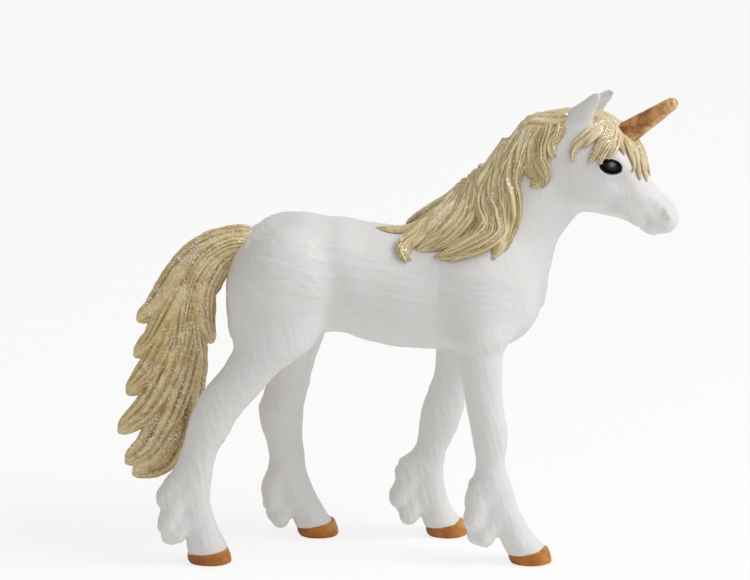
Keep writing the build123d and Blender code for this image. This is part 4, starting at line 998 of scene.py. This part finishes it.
def hairMaterial(name, paintOf):
    # straw-gold acrylic paint with a glitter varnish: painted highlights on the strand crowns, painted shade
    # in ochre in the grooves, tiny bright flakes
    material, tree, shader = startMaterial(name)
    tones = hairPaint[paintOf]
    place = node(tree, "ShaderNodeTexCoord").outputs["Object"]
    groove = node(tree, "ShaderNodeAttribute", attribute_name="groove").outputs["Fac"]
    cloud = node(tree, "ShaderNodeTexNoise", {"Vector": place},
                 {"Scale": 1 / (glitter["cloud"] * mm), "Detail": 2.0})
    ridge = blendColours(tree, cloud.outputs["Fac"], srgb(tones["light"]), srgb(tones["dark"]))
    # painted highlight: the palest tone on the crowns of the strands
    crownHighlight = node(tree, "ShaderNodeMapRange", {"Value": groove}, {"From Min": 0.02, "From Max": 0.30})
    ridge = blendColours(tree, crownHighlight.outputs["Result"], srgb(tones["crownHighlight"]), ridge)
    # painted shade: the groove tone where the strands part
    depth = node(tree, "ShaderNodeMapRange", {"Value": groove}, {"From Min": 0.30, "From Max": 0.95})
    paint = blendColours(tree, depth.outputs["Result"], ridge, srgb(tones["groove"]))
    smear = node(tree, "ShaderNodeTexNoise", {"Vector": place},
                 {"Scale": 1 / (glitter["smear"] * mm), "Detail": 3.0})
    smear = node(tree, "ShaderNodeMapRange", {"Value": smear.outputs["Fac"]},
                 {"From Min": 0.5, "From Max": 0.72, "To Max": tones["smudge"]})
    paint = blendColours(tree, smear.outputs["Result"], paint, srgb(glitter["dust"]))
    flake = node(tree, "ShaderNodeTexVoronoi", {"Vector": place}, {"Scale": 1 / (glitter["flake"] * mm)})
    chance = node(tree, "ShaderNodeSeparateColor", {0: flake.outputs["Color"]})
    patch = node(tree, "ShaderNodeTexNoise", {"Vector": place},
                 {"Scale": 1 / (glitter["patch"] * mm), "Detail": 1.0})
    bar = node(tree, "ShaderNodeMapRange", {"Value": patch.outputs["Fac"]},
               {"From Min": 0.40, "From Max": 0.66, "To Min": tones["sparse"], "To Max": tones["dense"]})
    rare = node(tree, "ShaderNodeMath", {0: chance.outputs[0], 1: bar.outputs["Result"]},
                operation="GREATER_THAN")
    small = node(tree, "ShaderNodeMath", {0: flake.outputs["Distance"]}, {1: 0.42}, operation="LESS_THAN")
    shown = node(tree, "ShaderNodeMath", {0: rare.outputs[0], 1: small.outputs[0]},
                 operation="MULTIPLY").outputs[0]
    tinted = blendColours(tree, chance.outputs[1], srgb(glitter["warm"]), srgb(glitter["cool"]))
    gloss = node(tree, "ShaderNodeMapRange", {"Value": shown}, {"To Min": 0.46, "To Max": 0.22})
    metal = node(tree, "ShaderNodeMath", {0: shown}, {1: 0.6}, operation="MULTIPLY")
    tree.links.new(blendColours(tree, shown, paint, tinted), shader.inputs["Base Color"])
    tree.links.new(gloss.outputs["Result"], shader.inputs["Roughness"])
    tree.links.new(metal.outputs[0], shader.inputs["Metallic"])
    return material


# horn, eyes and hooves

horn = {"along": -1.33, "seat": 5.0, "length": 11.1, "base": 2.06, "tip": 0.96, "tilt": 77.5, "twist": 13.0,
        "groove": 0.045, "grooveWidth": 0.8, "grooved": (0.62, 0.84), "rounded": 0.9, "blunt": 0.06,
        "lump": 0.035, "lumpSize": 0.9, "underside": (-0.4, 0.6), "underShade": 0.90, "grooveShade": 0.30}


def hornPiece(material):
    # radius = (taper - a fine groove wound round it, deeper towards the tip) * rounded tip + worn lumps
    v = np.linspace(0, 1, 130)[:, None]
    turn = np.linspace(0, fullTurn, 97)[None, :-1]
    tilt = math.radians(horn["tilt"])
    axis = headAxis * math.cos(tilt) + headBrow * math.sin(tilt)
    front = np.cross(headSide, axis)
    wound = np.mod(turn - fullTurn * horn["twist"] * v, fullTurn) - math.pi
    groove = np.exp(-(wound / horn["grooveWidth"]) ** 2) * smoothStep(*horn["grooved"], v)
    radius = horn["base"] + (horn["tip"] - horn["base"]) * v - horn["groove"] * groove
    nearTip = np.clip((v - horn["rounded"]) / (1 - horn["rounded"]), 0, 1)
    rounded = np.sqrt(np.clip(1 - nearTip ** 2, 0, 1))
    radius = radius * (horn["blunt"] + (1 - horn["blunt"]) * rounded)
    upright = np.stack([radius * np.cos(turn), radius * np.sin(turn), v * horn["length"] + 0 * turn], -1)
    lumps = latticeNoise((upright / horn["lumpSize"]).reshape(-1, 3), 3).reshape(radius.shape)
    radius = radius + horn["lump"] * lumps * rounded
    rings = (headPlace(horn["along"], horn["seat"], 0) + (v * horn["length"])[:, :, None] * axis
             + (radius * np.cos(turn))[:, :, None] * headSide + (radius * np.sin(turn))[:, :, None] * front)
    points, faces = ringMesh(rings)
    outward = [f[:, ::-1] for f in faces]                      # these rings wind the other way round
    piece = meshPiece("bronze_horn", points, outward, material, ["horn"])
    # lightness of the paint: lighter towards the worn tip and on the underside, darker in the wound groove, a
    # painted shade
    under = smoothStep(*horn["underside"], -(np.cos(turn) * headSide[2] + np.sin(turn) * front[2]))
    lightness = np.maximum(v, horn["underShade"] * under) - horn["grooveShade"] * groove
    addAttribute(piece, "tip", np.concatenate([lightness.ravel(), [0, 1]]))


lid = {"ball": 0.82, "roundness": 0.8, "height": 0.42, "place": 0.88, "width": 0.07, "sunk": 0.12,
       "back": -0.7, "droop": 0.12, "upper": 1.05, "lower": 0.95, "ripple": 0.03,
       "inner": -0.42, "innerLong": 0.17, "innerWide": 0.20, "outerLong": 0.06, "outerWide": 0.25}
paintedGleam = {"along": 0.15, "across": 0.40, "wide": 0.42, "tall": 0.40, "edge": 0.8}      # soft light on the eye


def eyePiece(side, name, material):
    # almond dome inside a raised lid: height = dome of the ball + ridge of the lid
    front = np.linspace(0.02, 1, 40)
    behind = np.linspace(1.0, 0.05, 4)[1:]
    share = np.concatenate([front, behind])
    turn = np.linspace(0, fullTurn, 97)[:-1]
    inner = np.angle(np.exp(1j * (turn - lid["inner"])))                  # measured from the inner corner
    corner = 1 + lid["innerLong"] * np.exp(-(inner / lid["innerWide"]) ** 2)
    corner = corner + lid["outerLong"] * np.exp(-((turn - math.pi) / lid["outerWide"]) ** 2)
    tallness = np.where(np.sin(turn) > 0, lid["upper"], lid["lower"]) * (1 + lid["ripple"] * np.sin(9 * turn))
    dome = eye["bulge"] * np.clip(1 - (front / lid["ball"]) ** 2, 0, 1) ** lid["roundness"]
    ridge = lid["height"] * np.exp(-((front - lid["place"]) / lid["width"]) ** 2)
    height = np.concatenate([dome + ridge - lid["sunk"], np.full(len(behind), lid["back"])])
    out = share[:, None]
    a = eye["half"] * out * (np.cos(turn) * corner)[None, :]
    droop = lid["droop"] * out ** 2 * np.cos(turn)[None, :]
    b = eye["tall"] * out * (np.sin(turn) * tallness)[None, :] - droop
    c = height[:, None] + 0 * a
    tilt, lean = math.radians(eye["tilt"]), math.radians(eye["lean"])
    up = a * math.sin(tilt) + b * math.cos(tilt)
    s = eye["along"] + a * math.cos(tilt) - b * math.sin(tilt)
    t = eye["rise"] + up * math.cos(lean) + c * math.sin(lean)
    v = eye["aside"] + c * math.cos(lean) - up * math.sin(lean)
    points, faces = ringMesh(headPlace(s[:, :, None], t[:, :, None], side * v[:, :, None]))
    quad = points[faces[0][:2 * len(turn)]]
    normal = np.cross(quad[:, 1] - quad[:, 0], quad[:, 2] - quad[:, 0]).sum(0)
    if np.dot(normal, headSide * side) < 0:
        faces = [f[:, ::-1] for f in faces]
    piece = meshPiece(name + "_gloss", points, faces, material, [name])
    addAttribute(piece, "ring", np.concatenate([np.repeat(share, len(turn)), [0, 1]]))
    # a soft grey painted highlight near the top of the eye
    soft = np.exp(-((a - paintedGleam["along"]) / paintedGleam["wide"]) ** 2 - ((b - paintedGleam["across"]) / paintedGleam["tall"]) ** 2)
    addAttribute(piece, "paintedGleam", np.concatenate([(soft * (out < paintedGleam["edge"])).ravel(), [0, 0]]))


hoofWall = [  # share of the height, of the outline
    (0.0, 0.30), (0.0, 0.86), (0.02, 0.905), (0.07, 0.94), (0.16, 0.965), (0.3, 0.985), (0.45, 1.0),
    (0.6, 1.0), (0.75, 0.995), (0.88, 0.985), (0.96, 0.975), (1.0, 0.95), (1.06, 0.88), (1.10, 0.6),
    (1.10, 0.2)]
hoof = {"half": 3.25, "heelNotch": 0.07, "heelWidth": 0.28, "uneven": 0.012, "wavyTop": 0.10, "lean": 0.34,
        "ahead": 0.1}


def hoofPiece(name, leg, material):
    # oval wall, uneven in outline, with a notch at the heel and a slanted wavy top edge
    middle, half = leg["hoof"]
    turn = np.linspace(0, fullTurn, 145)[:-1]
    high, wide = np.array(hoofWall).T[:, :, None]
    heel = np.exp(-((turn - math.pi) / hoof["heelWidth"]) ** 2)
    outline = (1 - hoof["heelNotch"] * heel) * (1 + hoof["uneven"] * np.sin(5 * turn + middle))
    x = half * wide * (np.cos(turn) * outline)[None, :]
    y = leg["side"] * stance + hoof["half"] * wide * (np.sin(turn) * outline)[None, :]
    z = high * (coronetTop(x) + hoof["wavyTop"] * np.sin(3 * turn + middle)[None, :])
    points, faces = ringMesh(np.stack([middle + x - hoof["lean"] * z + hoof["ahead"], y, z], -1))
    piece = meshPiece(name + "_hoof_wall", points, faces, material, [name + "_hoof"])
    # lighter towards the toe, a painted light, and darker towards the heel, a painted shade
    addAttribute(piece, "toe", (points[:, 0] - middle) / half * 0.5 + 0.5)


brushHeight = 0.08
bronze = {"light": "#edd09a", "mid": "#cb9458", "dark": "#854a20", "patch": 1.7, "attribute": "tip",
          "roughness": 0.42, "metallic": 0.2}
# on the hooves the light tone towards the toe is painted light, the dark tone at the heel painted shade
hoofTan = {"light": "#dca658", "mid": "#c07820", "dark": "#9e5a14", "patch": 3.0, "attribute": "toe",
           "roughness": 0.5, "metallic": 0.0}


def mottledMaterial(name, look):
    # painted plastic, blotchy from thin brushed coats: three tones, lighter where the attribute it reads is
    # high: on the horn towards the worn tip and on the underside, with painted shade in the wound groove; on
    # the hooves painted light towards the toe and painted shade at the heel
    material, tree, shader = startMaterial(name)
    place = node(tree, "ShaderNodeTexCoord").outputs["Object"]
    # how light the paint is: wear at the horn's tip and a lighter underside, painted shade in its groove;
    # painted light at the hoof's toe, painted shade at its heel
    lightness = node(tree, "ShaderNodeAttribute", attribute_name=look["attribute"]).outputs["Fac"]
    blotch = node(tree, "ShaderNodeTexNoise", {"Vector": place},
                  {"Scale": 1 / (look["patch"] * mm), "Detail": 3.0, "Roughness": 0.6}).outputs["Fac"]
    lifted = node(tree, "ShaderNodeMath", {0: lightness, 2: blotch}, {1: 0.30}, operation="MULTIPLY_ADD")
    spread = node(tree, "ShaderNodeMapRange", {"Value": lifted.outputs[0]},
                  {"From Min": 0.48, "From Max": 0.74})
    base = blendColours(tree, spread.outputs["Result"], srgb(look["dark"]), srgb(look["mid"]))
    lightShare = node(tree, "ShaderNodeMath", {0: lightness, 1: blotch}, operation="MULTIPLY")
    lightShare = node(tree, "ShaderNodeMapRange", {"Value": lightShare.outputs[0]}, {"From Min": 0.38, "From Max": 0.62})
    colour = blendColours(tree, lightShare.outputs["Result"], base, srgb(look["light"]))
    relief = node(tree, "ShaderNodeBump", {"Height": blotch}, {"Strength": 0.3, "Distance": brushHeight * mm})
    tree.links.new(colour, shader.inputs["Base Color"])
    tree.links.new(relief.outputs["Normal"], shader.inputs["Normal"])
    setSockets(shader, {"Roughness": look["roughness"], "Metallic": look["metallic"]})
    return material


lacquer = {"iris": "#16181a", "black": "#060607", "paintedGleam": "#85898c"}


def eyeMaterial():
    # black gloss lacquer with a faint blue-grey iris and a soft grey painted highlight near the top, under
    # the gloss
    material, tree, shader = startMaterial("BlackGlossLacquer")
    ring = node(tree, "ShaderNodeAttribute", attribute_name="ring")
    fade = node(tree, "ShaderNodeMapRange", {"Value": ring.outputs["Fac"]},
                {"From Min": 0.1, "From Max": 0.5})
    colour = blendColours(tree, fade.outputs["Result"], srgb(lacquer["iris"]), srgb(lacquer["black"]))
    # painted highlight: a soft grey patch near the top, under the gloss
    soft = node(tree, "ShaderNodeAttribute", attribute_name="paintedGleam")
    colour = blendColours(tree, soft.outputs["Fac"], colour, srgb(lacquer["paintedGleam"]))
    tree.links.new(colour, shader.inputs["Base Color"])
    setSockets(shader, {"Roughness": 0.16, "Specular IOR Level": 0.16, "Coat Weight": 0.08,
                        "Coat Roughness": 0.06})
    return material


# stage: pale floor that melts into a white background, soft lights, camera

stage = {"floorHalf": 1200.0, "paper": "#f6f6f6", "shadow": "#8a8a8a", "glow": 0.78, "bounce": 0.09,
         "fill": "#fffcf8", "fillPower": 0.425, "background": "#f7f7f7",
         "lampPlace": (500.0, -140.0, 580.0), "lampSize": 420.0, "lampPower": 2.85,
         "aim": (-3.44, 0.0, 42.9), "distance": 2000.0, "elevation": 15.0, "lens": 600.0, "sensor": 36.0,
         "clip": 10.0}


def stageObject(name, data):
    made = bpy.data.objects.new(name, data)
    bpy.context.scene.collection.objects.link(made)
    return made


def buildFloor():
    # matte paper: near white to the camera, keeps the soft shadow
    mesh = bpy.data.meshes.new("Floor")
    r = stage["floorHalf"] * mm
    mesh.from_pydata([(-r, -r, 0), (r, -r, 0), (r, r, 0), (-r, r, 0)], [], [(0, 1, 2, 3)])
    floor = stageObject("Floor", mesh)
    material, tree = startMaterial("PaleStudioFloor")[:2]
    tree.nodes.clear()
    ray = node(tree, "ShaderNodeLightPath")
    shaders = []
    for colour, power in ((stage["paper"], stage["bounce"]), (stage["shadow"], stage["glow"])):
        matte = node(tree, "ShaderNodeBsdfDiffuse", None, {"Color": srgb(colour)})
        light = node(tree, "ShaderNodeEmission", None, {"Color": srgb("#ffffff"), "Strength": power})
        both = node(tree, "ShaderNodeAddShader", {0: matte.outputs[0], 1: light.outputs[0]})
        shaders.append(both.outputs[0])
    mix = node(tree, "ShaderNodeMixShader", {0: ray.outputs["Is Camera Ray"], 1: shaders[0], 2: shaders[1]})
    node(tree, "ShaderNodeOutputMaterial", {"Surface": mix.outputs[0]})
    mesh.materials.append(material)


def buildWorld():
    # white to the camera and in reflections, a dimmer warm fill for the rest
    world = bpy.data.worlds.new("Studio")
    bpy.context.scene.world = world
    world.use_nodes = True
    tree = world.node_tree
    tree.nodes.clear()
    ray = node(tree, "ShaderNodeLightPath")
    seen = ray.outputs["Is Camera Ray"]
    for kind in ("Is Glossy Ray", "Is Transmission Ray"):
        seen = node(tree, "ShaderNodeMath", {0: seen, 1: ray.outputs[kind]}, operation="MAXIMUM").outputs[0]
    fill = node(tree, "ShaderNodeBackground", None,
                {"Color": srgb(stage["fill"]), "Strength": stage["fillPower"]})
    white = node(tree, "ShaderNodeBackground", None, {"Color": srgb(stage["background"]), "Strength": 1.0})
    mix = node(tree, "ShaderNodeMixShader", {0: seen, 1: fill.outputs[0], 2: white.outputs[0]})
    node(tree, "ShaderNodeOutputWorld", {"Surface": mix.outputs[0]})


def buildLamp():
    # one large soft light, high on the right
    lamp = bpy.data.lights.new("Softbox", "AREA")
    lamp.shape = "SQUARE"
    lamp.size = stage["lampSize"] * mm
    lamp.energy = stage["lampPower"]
    holder = stageObject("Softbox", lamp)
    place = np.array(stage["lampPlace"])
    x, y, z = place - np.array(stage["aim"])
    holder.location = place * mm
    holder.rotation_euler = (math.atan2(math.hypot(x, y), z), 0, math.atan2(x, -y))


def buildCamera():
    # long lens, from the figurine's right side and a little above
    camera = bpy.data.cameras.new("Camera")
    camera.sensor_width = stage["sensor"]
    camera.lens = stage["lens"]
    camera.clip_start = stage["clip"] * mm
    holder = stageObject("Camera", camera)
    tilt = math.radians(stage["elevation"])
    back = stage["distance"] * np.array([0, -math.cos(tilt), math.sin(tilt)])
    holder.location = (np.array(stage["aim"]) + back) * mm
    holder.rotation_euler = (math.pi / 2 - tilt, 0, 0)
    bpy.context.scene.camera = holder
    bpy.context.scene.view_settings.view_transform = "Standard"


barrelCoat = coatMaterial("MatteWhitePVC", 7.0, (3.6, 0.30, 0.26))
limbCoat = coatMaterial("MatteWhitePVCDownward", -14.0, (0.30, 0.30, 3.0))
bodyPieces(barrelCoat, limbCoat)
bareSkin = partial(skinField, eared=False)
manePaint = hairMaterial("StrawGoldGlitterPaint", "mane")
hairPiece("mane_hair", bareSkin, maneLocks(), manePaint, ["mane"])
# the forelock's paler copy of the hair paint is painted light
forelockPaint = hairMaterial("LitStrawGlitterPaint", "forelock")
hairPiece("forelock_hair", bareSkin, forelockLocks(), forelockPaint, ["forelock"])
# the tail's darker copy of the hair paint is painted shade
tailPiece(hairMaterial("ShadedStrawGlitterPaint", "tail"))
print("hair done")
hornPiece(mottledMaterial("WornBronzePaint", bronze))
eyeGloss = eyeMaterial()
for side, name in ((-1, "right"), (1, "left")):
    eyePiece(side, name + "_eye", eyeGloss)
hoofPaint = mottledMaterial("SatinTanHoofPaint", hoofTan)
for name, leg in legs.items():
    hoofPiece(name, leg, hoofPaint)
print("horn, eyes and hooves done")
buildFloor()
buildWorld()
buildLamp()
buildCamera()
print("stage done")
bpy.context.view_layer.update()
